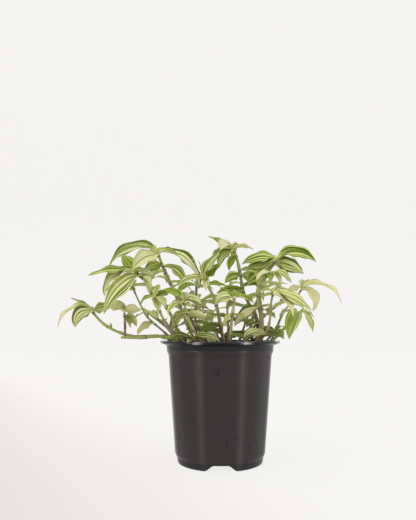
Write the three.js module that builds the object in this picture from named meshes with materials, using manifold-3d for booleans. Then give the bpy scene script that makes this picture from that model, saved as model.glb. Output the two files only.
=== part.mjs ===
// A variegated tradescantia in a thin-walled nursery pot.
// Millimetres, +Z up, +Y away from the front, origin at the centre of the pot's base where it meets the table.
import * as THREE from "three";
import { mergeVertices } from "three/addons/utils/BufferGeometryUtils.js";
import Module from "manifold-3d";

const wasm = await Module();
wasm.setup();

// Pot: 119 across the rim and 120 high, with eight soft vertical ridges and four notches in its foot
const POT_HEIGHT = 120;
const RIM_RADIUS = 59.5;
const RIM_DROP = 2.6;
const NECK_RADIUS = 53.5;
const NECK_DEPTH = 4.2;
const SHOULDER_RADIUS = 51.6;
const SHOULDER_HEIGHT = 107;
const SHOULDER_STEP = 0.9;
const HEEL_RADIUS = 44.9;
const HEEL_HEIGHT = 9.6;
const HEEL_STEP = 1.4;
const FOOT_RADIUS = 42.2;
const FOOT_WIDTH = 5.4;
const FLOOR_LIFT = 5.5;
const FLOOR_RADIUS = 33.5;
const PAD_RADIUS = 13;
const PAD_SLOPE = 4;
const WALL = 1.1;
const POT_STEPS = 48;
const RIDGES = 8;
const RIDGE_HEIGHT = 0.8;
const RIDGE_SPREAD_DEG = 7;
const RIM_DIP = 0.5;
const NOTCHES = 4;
const NOTCH_TOP_DEG = 9;
const NOTCH_FOOT_DEG = 19;
const DRAIN_RADIUS = 4;
const DRAIN_RING = 25;
const DRAIN_SIDES = 10;

// Soil: fills the pot to just under its neck, a small gap clear of the wall
const SOIL_HEIGHT = 108;
const SOIL_EDGE_HEIGHT = 104.6;
const SOIL_ROUGHNESS = 0.9;
const SOIL_STEPS = 24;
const SEAT_GAP = 0.35;

// Stems and blades. A blade is rolled and opened to its full by the settled share of its length.
const BURIED = 14;
const STEM_SIDES = 6;
const STEM_TAPER = 0.72;
const NODE_SWELL = 1.25;
const LOWEST_NODE = 0.03;
const HIGHEST_NODE = 0.9;
const HOLE_SIDES = 6;
const BLADE_THICKNESS = 0.7;
const BLADE_CLEARANCE = 0.4;
const BLADE_STEPS = 25;
const BLADE_STATIONS = [0, 4, 11, 19, 25];
const SMALL_BLADE_STATIONS = [0, 7, 16, 25];
const SMALL_BLADE = 31;
const BLADE_WIDTH = 0.37;
const OUTLINE_RISE = 0.6;
const OUTLINE_FALL = 0.95;
const FOLD_AT_ROOT_DEG = 55;
const FOLD_AT_TIP_DEG = 14;
const SETTLED = 0.4;

// A blade that would touch another stem is turned until it is clear: [heading, rise] in degrees, nearest first
const TURNS = [
  [0, 0], [7, 0], [-7, 0], [0, 8], [0, -8], [14, 0], [-14, 0], [10, 10], [-10, 10], [10, -10], [-10, -10],
  [22, 0], [-22, 0], [0, 18], [0, -18], [22, 14], [-22, 14], [22, -14], [-22, -14], [34, 0], [-34, 0],
  [0, 30], [0, -30], [34, 20], [-34, 20], [50, 0], [-50, 0], [50, 25], [-50, 25],
];

// Each shoot: its path from the soil to its head, its radius, and its blades as
// [place along the path 0 to 1, heading, rise, length, droop, roll, width over length], angles in degrees.
// Heading 0 is +X, 90 is away from the front, and 270 is towards it.
const SHOOTS = [
  {
    name: "long_left",
    radius: 1.7,
    path: [
      [-37, -2, 108], [-47, -7, 119.5], [-60, -11, 124.6], [-82, -10, 124],
      [-100, -8, 128.5], [-115, -6, 136.5], [-129, -4, 151],
    ],
    blades: [
      [1, 172, 38, 24, 18, -20, 0.34],
      [1, 184, 34, 46, 112, -30, 0.3],
      [0.96, 222, 22, 29, 118, -42, 0.6],
      [0.96, 346, 30, 21, 30, 58, 0.74],
      [0.97, 95, 28, 30, 40, 0],
    ],
    branches: [{ radius: 1.3, path: [[-107.5, -7, 131.5], [-108, -7, 137]], blades: [] }],
  },
  {
    name: "cut_left",
    radius: 1.7,
    path: [
      [-31, -21, 108], [-41, -23, 120], [-50, -24, 124],
      [-62, -23.5, 124.2], [-79, -21, 123], [-95.5, -19, 123.4],
    ],
    blades: [],
    branches: [
      {
        radius: 1.2,
        path: [[-92, -19, 123.4], [-92, -18, 134], [-92.5, -17, 140], [-93, -16, 147]],
        blades: [
          [1, 352, 22, 17, 30, 50, 0.88],
          [1, 182, 42, 20, 30, -50, 0.82],
          [0.9, 318, -40, 16, 30, 0, 0.5],
          [0.84, 345, 0, 18, 75, 40, 0.52],
        ],
      },
    ],
  },
  {
    name: "left_rosette",
    radius: 1.8,
    path: [
      [-32, -13, 108], [-40, -20, 126], [-46, -25, 142],
      [-57, -28, 161], [-70, -30, 176], [-81, -31, 185],
    ],
    blades: [
      [0.9, 229, -16, 58, 50, -44, 0.31],
      [0.97, 203, 16, 43, 108, -35, 0.4],
      [1, 186, 6, 44, 26, -34, 0.32],
      [1, 165, 56, 22, 10, -60, 0.62],
      [0.95, 110, 50, 28, 60, 0],
      [1, 350, 8, 20, 40, 40, 0.5],
      [0.9, 300, 5, 24, 70, 0, 0.42],
      [0.93, 80, 20, 34, 60, 0],
      [0.5, 30, 25, 18, 80, 0, 0.45],
      [0.62, 120, 30, 24, 70, 0],
      [0.86, 335, -50, 24, 20, 20, 0.42],
    ],
  },
  {
    name: "high_left",
    radius: 1.7,
    path: [
      [-20, -6, 108], [-27, -8, 124], [-34, -10, 140], [-43, -12, 163],
      [-52, -13, 183], [-57, -14, 195], [-61, -14, 206],
    ],
    blades: [
      [1, 183, 29, 55, 93, -48, 0.34],
      [0.99, 7, 9, 61, 100, 40, 0.32],
      [0.94, 222, -14, 40, 42, -34, 0.52],
      [1, 50, 40, 22, 50, 0],
      [0.96, 110, 25, 42, 75, 0],
      [0.8, 213, 2, 27, 52, -50, 0.5],
      [0.78, 352, 0, 34, 92, 44, 0.4],
      [0.6, 20, 20, 26, 80, 20],
      [0.7, 130, 20, 34, 70, 0],
    ],
  },
  {
    name: "thin_left",
    radius: 1.2,
    path: [[-40, 6, 108], [-47, 6, 119], [-58, 5, 130], [-72, 3, 142.5], [-80, 1, 156.5], [-89, 0, 177]],
    blades: [
      [1, 205, -5, 30, 30, -30, 0.4],
      [0.96, 30, 25, 24, 50, 30],
      [1, 100, 20, 34, 60, 0],
      [0.92, 150, 30, 32, 60, 0],
      [0.5, 198, 4, 23, 70, -44, 0.46],
      [0.62, 60, 35, 20, 60, 0],
    ],
  },
  {
    name: "red_left",
    radius: 1.3,
    path: [
      [-26, -28, 108], [-37, -32, 120.5], [-47, -36, 132],
      [-54, -38, 142], [-58, -39, 152], [-61, -40, 160],
    ],
    blades: [
      [1, 290, -20, 20, 50, 0, 0.52],
      [0.95, 312, 5, 24, 75, 10, 0.42],
      [1, 190, 20, 17, 100, -30, 0.44],
      [0.95, 35, 42, 20, 30, 35, 0.55],
      [1, 90, 55, 22, 50, 0],
      [0.7, 190, 10, 12, 60, -20],
    ],
  },
  {
    name: "middle_left",
    radius: 1.4,
    path: [[-14, -30, 108], [-20, -34, 121], [-28, -38, 135], [-32, -41, 148], [-35, -42, 158]],
    blades: [
      [1, 170, 48, 22, 40, -45, 0.52],
      [1, 352, 30, 20, 90, 42, 0.46],
      [0.93, 225, 5, 24, 70, -10, 0.42],
      [0.9, 300, 10, 16, 60, 0, 0.42],
      [0.96, 90, 50, 24, 50, 0],
      [0.7, 188, 5, 17, 45, -35],
      [0.68, 345, 20, 20, 60, 35, 0.42],
    ],
  },
  {
    name: "behind_left",
    radius: 1.4,
    path: [[-14, 14, 108], [-19, 15, 125], [-25, 16, 142.5], [-24, 16, 158], [-24, 17, 176]],
    blades: [
      [1, 195, 10, 26, 70, -35],
      [0.95, 15, 35, 20, 70, 35],
      [0.9, 240, 15, 17, 80, -20],
      [1, 90, 35, 36, 65, 0],
      [0.6, 200, 20, 24, 60, -20],
      [0.66, 30, 20, 26, 70, 20],
      [0.3, 335, 18, 28, 50, 36, 0.44],
    ],
  },
  {
    name: "centre_left",
    radius: 1.8,
    path: [[4, -16, 108], [2, -19, 124], [-1, -20, 140], [-4, -21, 154], [-9.5, -22, 168], [-16, -22, 179]],
    blades: [
      [1, 345, 72, 29, 30, 62, 0.54],
      [0.94, 335, 57, 25, 22, 60, 0.58],
      [0.88, 28, 20, 22, 40, 40, 0.42],
      [1, 165, 84, 19, 4, -30, 0.24],
      [0.97, 275, 0, 18, 80, 0, 0.46],
      [0.97, 200, 25, 30, 80, -35, 0.42],
      [0.6, 170, 30, 22, 60, -30, 0.44],
      [0.3, 196, 20, 28, 60, -36, 0.44],
    ],
  },
  {
    name: "centre",
    radius: 1.6,
    path: [[8, -34, 108], [8.5, -35, 122], [10, -34, 138], [11.5, -33, 150], [12.5, -32, 160]],
    blades: [
      [1, 150, 60, 16, 40, 0, 0.4],
      [0.97, 198, 56, 21, 82, -50, 0.72],
      [1, 12, 25, 20, 75, 45, 0.44],
      [0.9, 100, 20, 22, 60, 0, 0.4],
      [0.97, 100, 50, 26, 60, 0],
      [0.66, 215, -30, 18, 40, -20, 0.36],
      [0.6, 330, 20, 17, 60, 20, 0.36],
    ],
  },
  {
    name: "high_centre",
    radius: 1.7,
    path: [
      [35, 4, 108], [38, 3, 128], [36, 2, 146], [29, 0, 157],
      [23, -2, 169], [20, -4, 186], [16, -5, 203], [11, -6, 212],
    ],
    blades: [
      [1, 178, 29, 26, 6, -46, 0.32],
      [1, 225, 35, 21, 100, -25, 0.88],
      [0.92, 198, 2, 25, 98, -46, 0.5],
      [0.97, 12, 26, 23, 50, 40, 0.4],
      [0.86, 225, -35, 19, 40, -10, 0.58],
      [1, 85, 25, 38, 70, 0],
      [0.93, 130, 28, 36, 65, 0],
      [0.7, 205, 0, 20, 50, -50, 0.66],
      [0.74, 352, 5, 24, 30, 40, 0.42],
      [0.6, 5, 35, 21, 60, 35, 0.42],
      [0.56, 186, 20, 28, 45, -50, 0.44],
      [0.7, 70, 20, 36, 60, 0],
      [0.2, 238, 24, 26, 60, -30, 0.46],
    ],
  },
  {
    name: "high_right",
    radius: 1.7,
    path: [[25, 20, 108], [31, 18, 130], [38, 16, 156], [44, 13, 177], [51, 9, 192], [58.5, 5, 202]],
    blades: [
      [1, 353, 36, 42, 84, 56, 0.46],
      [0.92, 342, -10, 32, 24, 62, 0.6],
      [0.98, 22, 26, 43, 84, 24, 0.24],
      [0.9, 335, -18, 28, 24, 20, 0.36],
      [0.98, 187, 16, 38, 48, -52, 0.44],
      [0.94, 198, -4, 35, 24, -46, 0.42],
      [1, 125, 18, 38, 60, 0],
      [0.92, 88, 22, 38, 60, 0],
      [0.86, 232, -25, 20, 30, -10, 0.4],
      [0.6, 40, 20, 32, 60, 0],
      [0.7, 150, 20, 34, 65, 0],
      [0.74, 198, -4, 34, 44, -46, 0.46],
    ],
  },
  {
    name: "thick_right",
    radius: 2.4,
    path: [
      [31, -19, 108], [37, -22, 123], [39, -25, 138], [36.5, -25, 158],
      [36.5, -25, 173], [41, -26, 180.5], [50, -27, 184],
    ],
    blades: [
      [1, 344, 14, 18, 90, 44, 0.56],
      [0.97, 302, 0, 18, 85, 0, 0.5],
      [0.95, 264, -15, 14, 50, 0, 0.5],
      [0.95, 30, 15, 24, 60, 20, 0.42],
      [0.44, 190, -8, 32, 54, -50, 0.44],
      [0.88, 150, 25, 16, 60, 0],
      [0.66, 80, 25, 30, 60, 0],
      [0.55, 290, 5, 13, 70, 0],
      [0.2, 335, 20, 26, 60, 36, 0.46],
      [0.97, 200, 25, 20, 100, -30, 0.42],
    ],
  },
  {
    name: "purple_right",
    radius: 1.3,
    path: [
      [28, -29, 108], [36.5, -32.5, 120], [43, -37, 131],
      [45.5, -39, 144], [46, -41, 156], [48, -42, 165],
    ],
    blades: [
      [1, 350, -12, 39, 30, 50, 0.36],
      [0.95, 314, -4, 30, 62, 0, 0.62],
      [1, 172, 35, 15, 70, -30],
      [0.93, 45, 45, 28, 60, 20],
    ],
  },
  {
    name: "low_right",
    radius: 1.4,
    path: [
      [39, -12, 108], [47, -13, 117], [56, -14, 125], [62, -14, 132],
      [68, -15, 141], [73, -16, 146], [79, -17, 148.5],
    ],
    blades: [
      [1, 326, -40, 24, 45, 30, 0.36],
      [0.95, 30, 22, 20, 80, 20],
      [0.92, 236, -20, 36, 58, -14, 0.46],
      [0.7, 262, -20, 20, 50, 0, 0.4],
      [0.85, 110, 25, 30, 60, 0],
    ],
  },
  {
    name: "far_right",
    radius: 1.2,
    path: [[36, 8, 108], [46, 9, 118], [56, 10, 130], [66, 10, 150], [75, 9, 160], [84, 8, 173]],
    blades: [
      [1, 355, 30, 49, 106, 20, 0.33],
      [0.96, 322, 10, 32, 138, 20, 0.46],
      [1, 192, 2, 20, 44, -45, 0.5],
      [1, 70, 50, 30, 65, 0],
      [0.8, 110, 24, 32, 65, 0],
      [0.7, 335, 20, 18, 70, 25],
    ],
  },
  {
    name: "rim_right",
    radius: 1.2,
    path: [[43, 0, 107], [48, -1, 116], [53, -2, 124], [56, -3, 130]],
    blades: [
      [1, 292, 0, 15, 80, 10, 0.5],
      [0.9, 196, 24, 26, 70, -38, 0.46],
      [0.97, 60, 35, 22, 50, 0],
    ],
  },
  {
    name: "rim_front_left",
    radius: 1.1,
    path: [[-20, -38, 107.5], [-23, -41, 114], [-26, -43, 121]],
    blades: [
      [1, 350, 34, 29, 80, 35, 0.4],
      [1, 186, 26, 28, 50, -35, 0.4],
      [0.85, 255, 30, 20, 60, 0],
    ],
  },
  {
    name: "rim_front_right",
    radius: 1.1,
    path: [[19, -42, 107.5], [21, -44, 114], [22, -45, 121]],
    blades: [
      [1, 18, 48, 24, 70, 42, 0.62],
      [0.95, 165, 48, 18, 65, -30, 0.42],
    ],
  },
  {
    name: "rim_behind_left",
    radius: 1.1,
    path: [[-29, 26, 107], [-31, 27, 112], [-32, 28, 116]],
    blades: [
      [1, 188, 22, 30, 60, -34, 0.42],
      [1, 12, 24, 30, 60, 34, 0.42],
      [0.9, 285, 20, 24, 50, 0, 0.46],
    ],
  },
  {
    name: "rim_behind",
    radius: 1.1,
    path: [[2, 28, 107], [3, 29, 112], [4, 30, 116]],
    blades: [
      [1, 186, 24, 30, 60, -34, 0.42],
      [1, 352, 24, 30, 60, 34, 0.42],
      [0.9, 262, 20, 24, 50, 0, 0.46],
    ],
  },
  {
    name: "rim_behind_right",
    radius: 1.1,
    path: [[34, 27, 107], [36, 28, 112], [37, 28, 116]],
    blades: [
      [1, 178, 24, 30, 60, -34, 0.42],
      [1, 350, 22, 28, 60, 34, 0.42],
      [0.9, 256, 20, 24, 50, 0, 0.46],
    ],
  },
];

// The shoots that the front hides:
// [heading, reach, height of the head, heading of the foot, reach of the foot, number of blades]
const BUSH = [
  [78, 62, 180, 70, 22, 6],
  [112, 72, 166, 105, 36, 6],
  [48, 74, 172, 60, 35, 6],
  [142, 74, 188, 140, 25, 6],
  [95, 98, 148, 88, 41, 6],
  [150, 90, 150, 160, 41, 5],
  [20, 66, 158, 15, 20, 5],
  [240, 30, 138, 225, 14, 4],
];
const BUSH_SEED = 71;
const BUSH_RADIUS = 1.4;
const BUSH_BLADE = [29, 45];

// Random numbers from 0 to 1, the same on each run
function seededRandom(seed) {
  let state = seed >>> 0;
  return () => {
    state = (state + 0x6d2b79f5) >>> 0;
    let mixed = Math.imul(state ^ (state >>> 15), state | 1);
    mixed = (mixed + Math.imul(mixed ^ (mixed >>> 7), mixed | 61)) ^ mixed;
    return ((mixed ^ (mixed >>> 14)) >>> 0) / 4294967296;
  };
}

const rad = THREE.MathUtils.degToRad;
const lerp = THREE.MathUtils.lerp;
const clamp = THREE.MathUtils.clamp;
const point = ([x, y, z]) => new THREE.Vector3(x, y, z);

// A closed mesh through rings of equal length; a ring of one point is a pole, and an open end is capped flat
function skin(rings) {
  const positions = [];
  const add = (...corners) => corners.forEach((corner) => positions.push(corner.x, corner.y, corner.z));
  rings.slice(1).forEach((ring, i) => {
    const below = rings[i];
    const count = Math.max(ring.length, below.length);
    for (let k = 0; k < count; k++) {
      const next = (k + 1) % count;
      if (below.length === 1) add(below[0], ring[next], ring[k]);
      else if (ring.length === 1) add(below[k], below[next], ring[0]);
      else {
        add(below[k], below[next], ring[next]);
        add(below[k], ring[next], ring[k]);
      }
    }
  });
  const cap = (ring, turned) => {
    for (let k = 1; k + 1 < ring.length; k++) {
      if (turned) add(ring[0], ring[k + 1], ring[k]);
      else add(ring[0], ring[k], ring[k + 1]);
    }
  };
  cap(rings[0], true);
  cap(rings[rings.length - 1], false);
  const geometry = new THREE.BufferGeometry();
  geometry.setAttribute("position", new THREE.Float32BufferAttribute(positions, 3));
  return geometry;
}

// A closed geometry as a solid that can be cut and joined
function solidOf(geometry) {
  const bare = geometry.index ? geometry.toNonIndexed() : geometry.clone();
  bare.deleteAttribute("normal");
  bare.deleteAttribute("uv");
  const merged = mergeVertices(bare, 1e-4);
  return new wasm.Manifold(
    new wasm.Mesh({
      numProp: 3,
      vertProperties: merged.attributes.position.array,
      triVerts: new Uint32Array(merged.index.array),
    }),
  );
}

function geometryOf(solid) {
  const mesh = solid.getMesh();
  const geometry = new THREE.BufferGeometry();
  geometry.setAttribute("position", new THREE.BufferAttribute(mesh.vertProperties, 3));
  geometry.setIndex(new THREE.BufferAttribute(mesh.triVerts, 1));
  geometry.computeVertexNormals();
  return geometry;
}

// How near an angle round the pot is to one of its ridges, 1 on the ridge
function ridgeShare(angle) {
  const pitch = 360 / RIDGES;
  const off = ((((angle - pitch / 2) % pitch) + pitch * 1.5) % pitch) - pitch / 2;
  return Math.exp(-((off / RIDGE_SPREAD_DEG) ** 2));
}

// How far the foot is lifted into a notch at an angle, 1 at the notch's flat top
function notchShare(angle) {
  const pitch = 360 / NOTCHES;
  const off = Math.abs(((((angle + 90) % pitch) + pitch * 1.5) % pitch) - pitch / 2);
  return clamp((NOTCH_FOOT_DEG - off) / (NOTCH_FOOT_DEG - NOTCH_TOP_DEG), 0, 1);
}

// The pot's section from the middle of its underside, up the outside, over the rim and down the inside:
// [radius, height, share of the ridges, share of the notches' lift, share of the rim's dips]
function potSection() {
  const lip = POT_HEIGHT - RIM_DROP;
  const rimInside = NECK_RADIUS + 0.4;
  const heelFoot = HEEL_HEIGHT - HEEL_STEP;
  return [
    [0, 0, 0, 0, 0],
    [PAD_RADIUS, 0, 0, 0, 0],
    [PAD_RADIUS + PAD_SLOPE, FLOOR_LIFT, 0, 0, 0],
    [FLOOR_RADIUS, FLOOR_LIFT, 0, 0, 0],
    [FOOT_RADIUS - FOOT_WIDTH, 0, 0, 1, 0],
    [FOOT_RADIUS, 0, 0, 1, 0],
    [FOOT_RADIUS + 1.2, 1.6, 0, 1, 0],
    [HEEL_RADIUS - HEEL_STEP, heelFoot, 0, 0, 0],
    [HEEL_RADIUS, HEEL_HEIGHT, 0.5, 0, 0],
    [SHOULDER_RADIUS, SHOULDER_HEIGHT, 1, 0, 0],
    [SHOULDER_RADIUS + SHOULDER_STEP, SHOULDER_HEIGHT + 1.5, 0.6, 0, 0],
    [NECK_RADIUS, POT_HEIGHT - NECK_DEPTH, 0.4, 0, 0],
    [RIM_RADIUS - 0.9, lip, 0, 0, 1],
    [RIM_RADIUS, lip + 0.6, 0, 0, 1],
    [RIM_RADIUS, POT_HEIGHT - 0.7, 0, 0, 1],
    [RIM_RADIUS - 0.8, POT_HEIGHT, 0, 0, 1],
    [rimInside, POT_HEIGHT, 0, 0, 0],
    [NECK_RADIUS - WALL, POT_HEIGHT - WALL - 0.6, 0.4, 0, 0],
    [SHOULDER_RADIUS - WALL, SHOULDER_HEIGHT + 0.3, 1, 0, 0],
    [HEEL_RADIUS - WALL, HEEL_HEIGHT + 0.2, 0.5, 0, 0],
    [FOOT_RADIUS + 0.2, 2.6, 0, 1, 0],
    [FOOT_RADIUS - 0.6, WALL, 0, 1, 0],
    [FOOT_RADIUS - FOOT_WIDTH + 0.6, WALL, 0, 1, 0],
    [FLOOR_RADIUS + 0.6, FLOOR_LIFT + WALL, 0, 0, 0],
    [PAD_RADIUS + PAD_SLOPE - 0.6, FLOOR_LIFT + WALL, 0, 0, 0],
    [PAD_RADIUS - 0.6, WALL, 0, 0, 0],
    [0, WALL, 0, 0, 0],
  ];
}

function potSolid() {
  const rings = potSection().map(([radius, height, ridge, notch, dip]) => {
    if (radius === 0) return [new THREE.Vector3(0, 0, height)];
    return Array.from({ length: POT_STEPS }, (_, k) => {
      const angle = (360 * k) / POT_STEPS;
      const out = radius + RIDGE_HEIGHT * ridge * ridgeShare(angle);
      const up = height + FLOOR_LIFT * notch * notchShare(angle) - RIM_DIP * dip * ridgeShare(angle);
      return new THREE.Vector3(out * Math.cos(rad(angle)), out * Math.sin(rad(angle)), up);
    });
  });
  let pot = solidOf(skin(rings));
  for (let k = 0; k < NOTCHES; k++) {
    const drain = new THREE.CylinderGeometry(DRAIN_RADIUS, DRAIN_RADIUS, 4 * FLOOR_LIFT, DRAIN_SIDES);
    drain.rotateX(Math.PI / 2);
    drain.translate(DRAIN_RING, 0, FLOOR_LIFT);
    drain.rotateZ((2 * Math.PI * k) / NOTCHES);
    pot = pot.subtract(solidOf(drain));
  }
  return pot;
}

// The soil, with an uneven top and a plain blind hole for each stem
function soilSolid(stems) {
  const lumps = seededRandom(9);
  const innerHeel = HEEL_RADIUS - WALL - SEAT_GAP - 0.1;
  const innerShoulder = SHOULDER_RADIUS - WALL - SEAT_GAP - 0.2;
  const section = [
    [0, FLOOR_LIFT + WALL + SEAT_GAP, 0],
    [FOOT_RADIUS - 1.4, FLOOR_LIFT + WALL + SEAT_GAP, 0],
    [innerHeel, HEEL_HEIGHT + 0.8, 0],
    [innerShoulder, SOIL_EDGE_HEIGHT - 0.6, 0],
    [innerShoulder - 3, SOIL_EDGE_HEIGHT + 0.7, 0.5],
    [36, lerp(SOIL_EDGE_HEIGHT, SOIL_HEIGHT, 0.75), 1],
    [18, SOIL_HEIGHT, 1],
    [0, SOIL_HEIGHT, 0],
  ];
  const rings = section.map(([radius, height, rough]) => {
    if (radius === 0) return [new THREE.Vector3(0, 0, height)];
    return Array.from({ length: SOIL_STEPS }, (_, k) => {
      const angle = (2 * Math.PI * k) / SOIL_STEPS;
      const lump = SOIL_ROUGHNESS * rough * (2 * lumps() - 1);
      return new THREE.Vector3(radius * Math.cos(angle), radius * Math.sin(angle), height + lump);
    });
  });
  return stems.reduce((soil, hole) => soil.subtract(hole), solidOf(skin(rings)));
}

// A smooth curve through a shoot's points
const curveOf = (path) => new THREE.CatmullRomCurve3(path.map(point), false, "catmullrom", 0.5);

// A ring of points round a curve, turned along with it so that a tube doesn't twist
function ringsAlong(stations) {
  let side = null;
  return stations.map(({ centre, tangent, radius, sides }) => {
    const start = side ?? new THREE.Vector3(0.3, 1, 0.1);
    side = start.clone().addScaledVector(tangent, -start.dot(tangent)).normalize();
    const other = new THREE.Vector3().crossVectors(tangent, side);
    return Array.from({ length: sides }, (_, k) => {
      const angle = (2 * Math.PI * k) / sides;
      return centre
        .clone()
        .addScaledVector(side, radius * Math.cos(angle))
        .addScaledVector(other, radius * Math.sin(angle));
    });
  });
}

// A stem from its foot to its head, thicker at the nodes that bear its blades
function stemSolid(shoot, buried) {
  const curve = curveOf(shoot.path);
  const places = [...new Set(shoot.blades.map(([place]) => place))];
  const nodes = places.filter((place) => place > LOWEST_NODE && place < HIGHEST_NODE);
  const nodesAndEnds = [0, ...nodes.sort((a, b) => a - b), 1];
  const rings = nodesAndEnds.flatMap((place, i) => {
    const gap = (nodesAndEnds[i + 1] ?? place) - place;
    const between = Math.max(1, Math.round(gap * (shoot.path.length - 1)));
    const count = i + 1 < nodesAndEnds.length ? between : 1;
    return Array.from({ length: count }, (_, k) => place + (gap * k) / between);
  });
  const stations = rings.map((place) => ({
    centre: curve.getPoint(place),
    tangent: curve.getTangent(place),
    radius: shoot.radius * lerp(1, STEM_TAPER, place) * (nodes.includes(place) ? NODE_SWELL : 1),
    sides: STEM_SIDES,
  }));
  if (buried) {
    const foot = stations[0];
    stations.unshift({ ...foot, centre: foot.centre.clone().addScaledVector(foot.tangent, -BURIED) });
  }
  return solidOf(skin(ringsAlong(stations)));
}

// The hole that a stem stands in: straight, a little wider than the stem and a little deeper
function holeSolid(shoot) {
  const curve = curveOf(shoot.path);
  const centre = curve.getPoint(0);
  const tangent = curve.getTangent(0);
  const radius = (shoot.radius + SEAT_GAP) / Math.cos(Math.PI / HOLE_SIDES);
  const ends = [-BURIED - SEAT_GAP, 6].map((along) => ({
    centre: centre.clone().addScaledVector(tangent, along),
    tangent,
    radius: radius + (along > 0 ? 0.5 : 0),
    sides: HOLE_SIDES,
  }));
  return solidOf(skin(ringsAlong(ends)));
}

// Half the width of a blade at a share of its length, 1 at its widest
function bladeOutline(share) {
  const widest = OUTLINE_RISE / (OUTLINE_RISE + OUTLINE_FALL);
  const swell = (place) => place ** OUTLINE_RISE * (1 - place) ** OUTLINE_FALL;
  return swell(share) / swell(widest);
}

// A blade's frames along its midrib: where it is, which way its right edge and its upper face point
function bladeFrames(root, blade, turn) {
  const [, heading, rise, length, droop, roll = 0] = blade;
  const azimuth = rad(heading + turn[0]);
  const ahead = new THREE.Vector3(Math.cos(azimuth), Math.sin(azimuth), 0);
  const right = new THREE.Vector3(Math.sin(azimuth), -Math.cos(azimuth), 0);
  const up = new THREE.Vector3(0, 0, 1);
  const at = root.clone();
  return Array.from({ length: BLADE_STEPS + 1 }, (_, i) => {
    const share = i / BLADE_STEPS;
    if (i > 0) {
      const middle = rad(rise + turn[1] - droop * (share - 0.5 / BLADE_STEPS));
      at.addScaledVector(ahead, (Math.cos(middle) * length) / BLADE_STEPS);
      at.addScaledVector(up, (Math.sin(middle) * length) / BLADE_STEPS);
    }
    const tilt = rad(rise + turn[1] - droop * share);
    const face = ahead.clone().multiplyScalar(-Math.sin(tilt)).addScaledVector(up, Math.cos(tilt));
    const spin = rad(roll) * Math.min(1, share / SETTLED);
    return {
      at: at.clone(),
      share,
      side: right.clone().multiplyScalar(Math.cos(spin)).addScaledVector(face, -Math.sin(spin)),
      face: face.multiplyScalar(Math.cos(spin)).addScaledVector(right, Math.sin(spin)),
    };
  });
}

// A blade as a thin folded solid; extra thickness and a later start make the envelope that has to be clear
function bladeSolid(root, blade, turn, extra = 0, first = 0) {
  const [, , , length, , , width = BLADE_WIDTH] = blade;
  const frames = bladeFrames(root, blade, turn);
  const stations = (length < SMALL_BLADE ? SMALL_BLADE_STATIONS : BLADE_STATIONS).slice(first);
  const half = (length * width) / 2;
  const thick = BLADE_THICKNESS / 2 + extra;
  const shift = (from, face, by) => from.clone().addScaledVector(face, by);
  const sections = stations.map((index) => {
    const { at, share, side, face } = frames[index];
    if (share === 0 || share === 1) return [shift(at, face, thick), shift(at, face, -thick)];
    const reach = half * bladeOutline(share) + extra;
    const fold = rad(lerp(FOLD_AT_ROOT_DEG, FOLD_AT_TIP_DEG, Math.min(1, share / SETTLED)));
    const out = reach * Math.cos(fold);
    const lift = reach * Math.sin(fold);
    const edge = (hand) => at.clone().addScaledVector(side, hand * out).addScaledVector(face, lift);
    const spine = [edge(-1), at, edge(1)];
    return [
      ...spine.map((place) => shift(place, face, thick)),
      ...spine.reverse().map((place) => shift(place, face, -thick)),
    ];
  });
  return solidOf(skinOfBlade(sections));
}

// Six-cornered sections joined to one another, and to a root or a tip of two corners, alike on both faces.
// Each section runs round its upper left, middle and right and its lower right, middle and left corner.
function skinOfBlade(sections) {
  const positions = [];
  const add = (turned, ...corners) => {
    if (turned) corners.reverse();
    corners.forEach((corner) => positions.push(corner.x, corner.y, corner.z));
  };
  const strip = (below, above, a, b, turned) => {
    add(turned, below[a], below[b], above[b]);
    add(turned, below[a], above[b], above[a]);
  };
  const closeTo = (ring, [top, bottom], turned) => {
    add(turned, ring[0], ring[1], top);
    add(turned, ring[1], ring[2], top);
    add(turned, ring[4], ring[5], bottom);
    add(turned, ring[3], ring[4], bottom);
    add(turned, ring[2], ring[3], bottom);
    add(turned, ring[2], bottom, top);
    add(turned, ring[5], ring[0], top);
    add(turned, ring[5], top, bottom);
  };
  sections.slice(1).forEach((above, i) => {
    const below = sections[i];
    if (below.length === 2) closeTo(above, below, true);
    else if (above.length === 2) closeTo(below, above, false);
    else {
      strip(below, above, 1, 0, true);
      strip(below, above, 1, 2, false);
      strip(below, above, 4, 5, false);
      strip(below, above, 4, 3, true);
      strip(below, above, 2, 3, false);
      strip(below, above, 5, 0, false);
    }
  });
  const first = sections[0];
  if (first.length === 6) {
    add(false, first[0], first[4], first[1]);
    add(false, first[0], first[5], first[4]);
    add(false, first[1], first[4], first[2]);
    add(false, first[4], first[3], first[2]);
  }
  const geometry = new THREE.BufferGeometry();
  geometry.setAttribute("position", new THREE.Float32BufferAttribute(positions, 3));
  return geometry;
}

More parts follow.
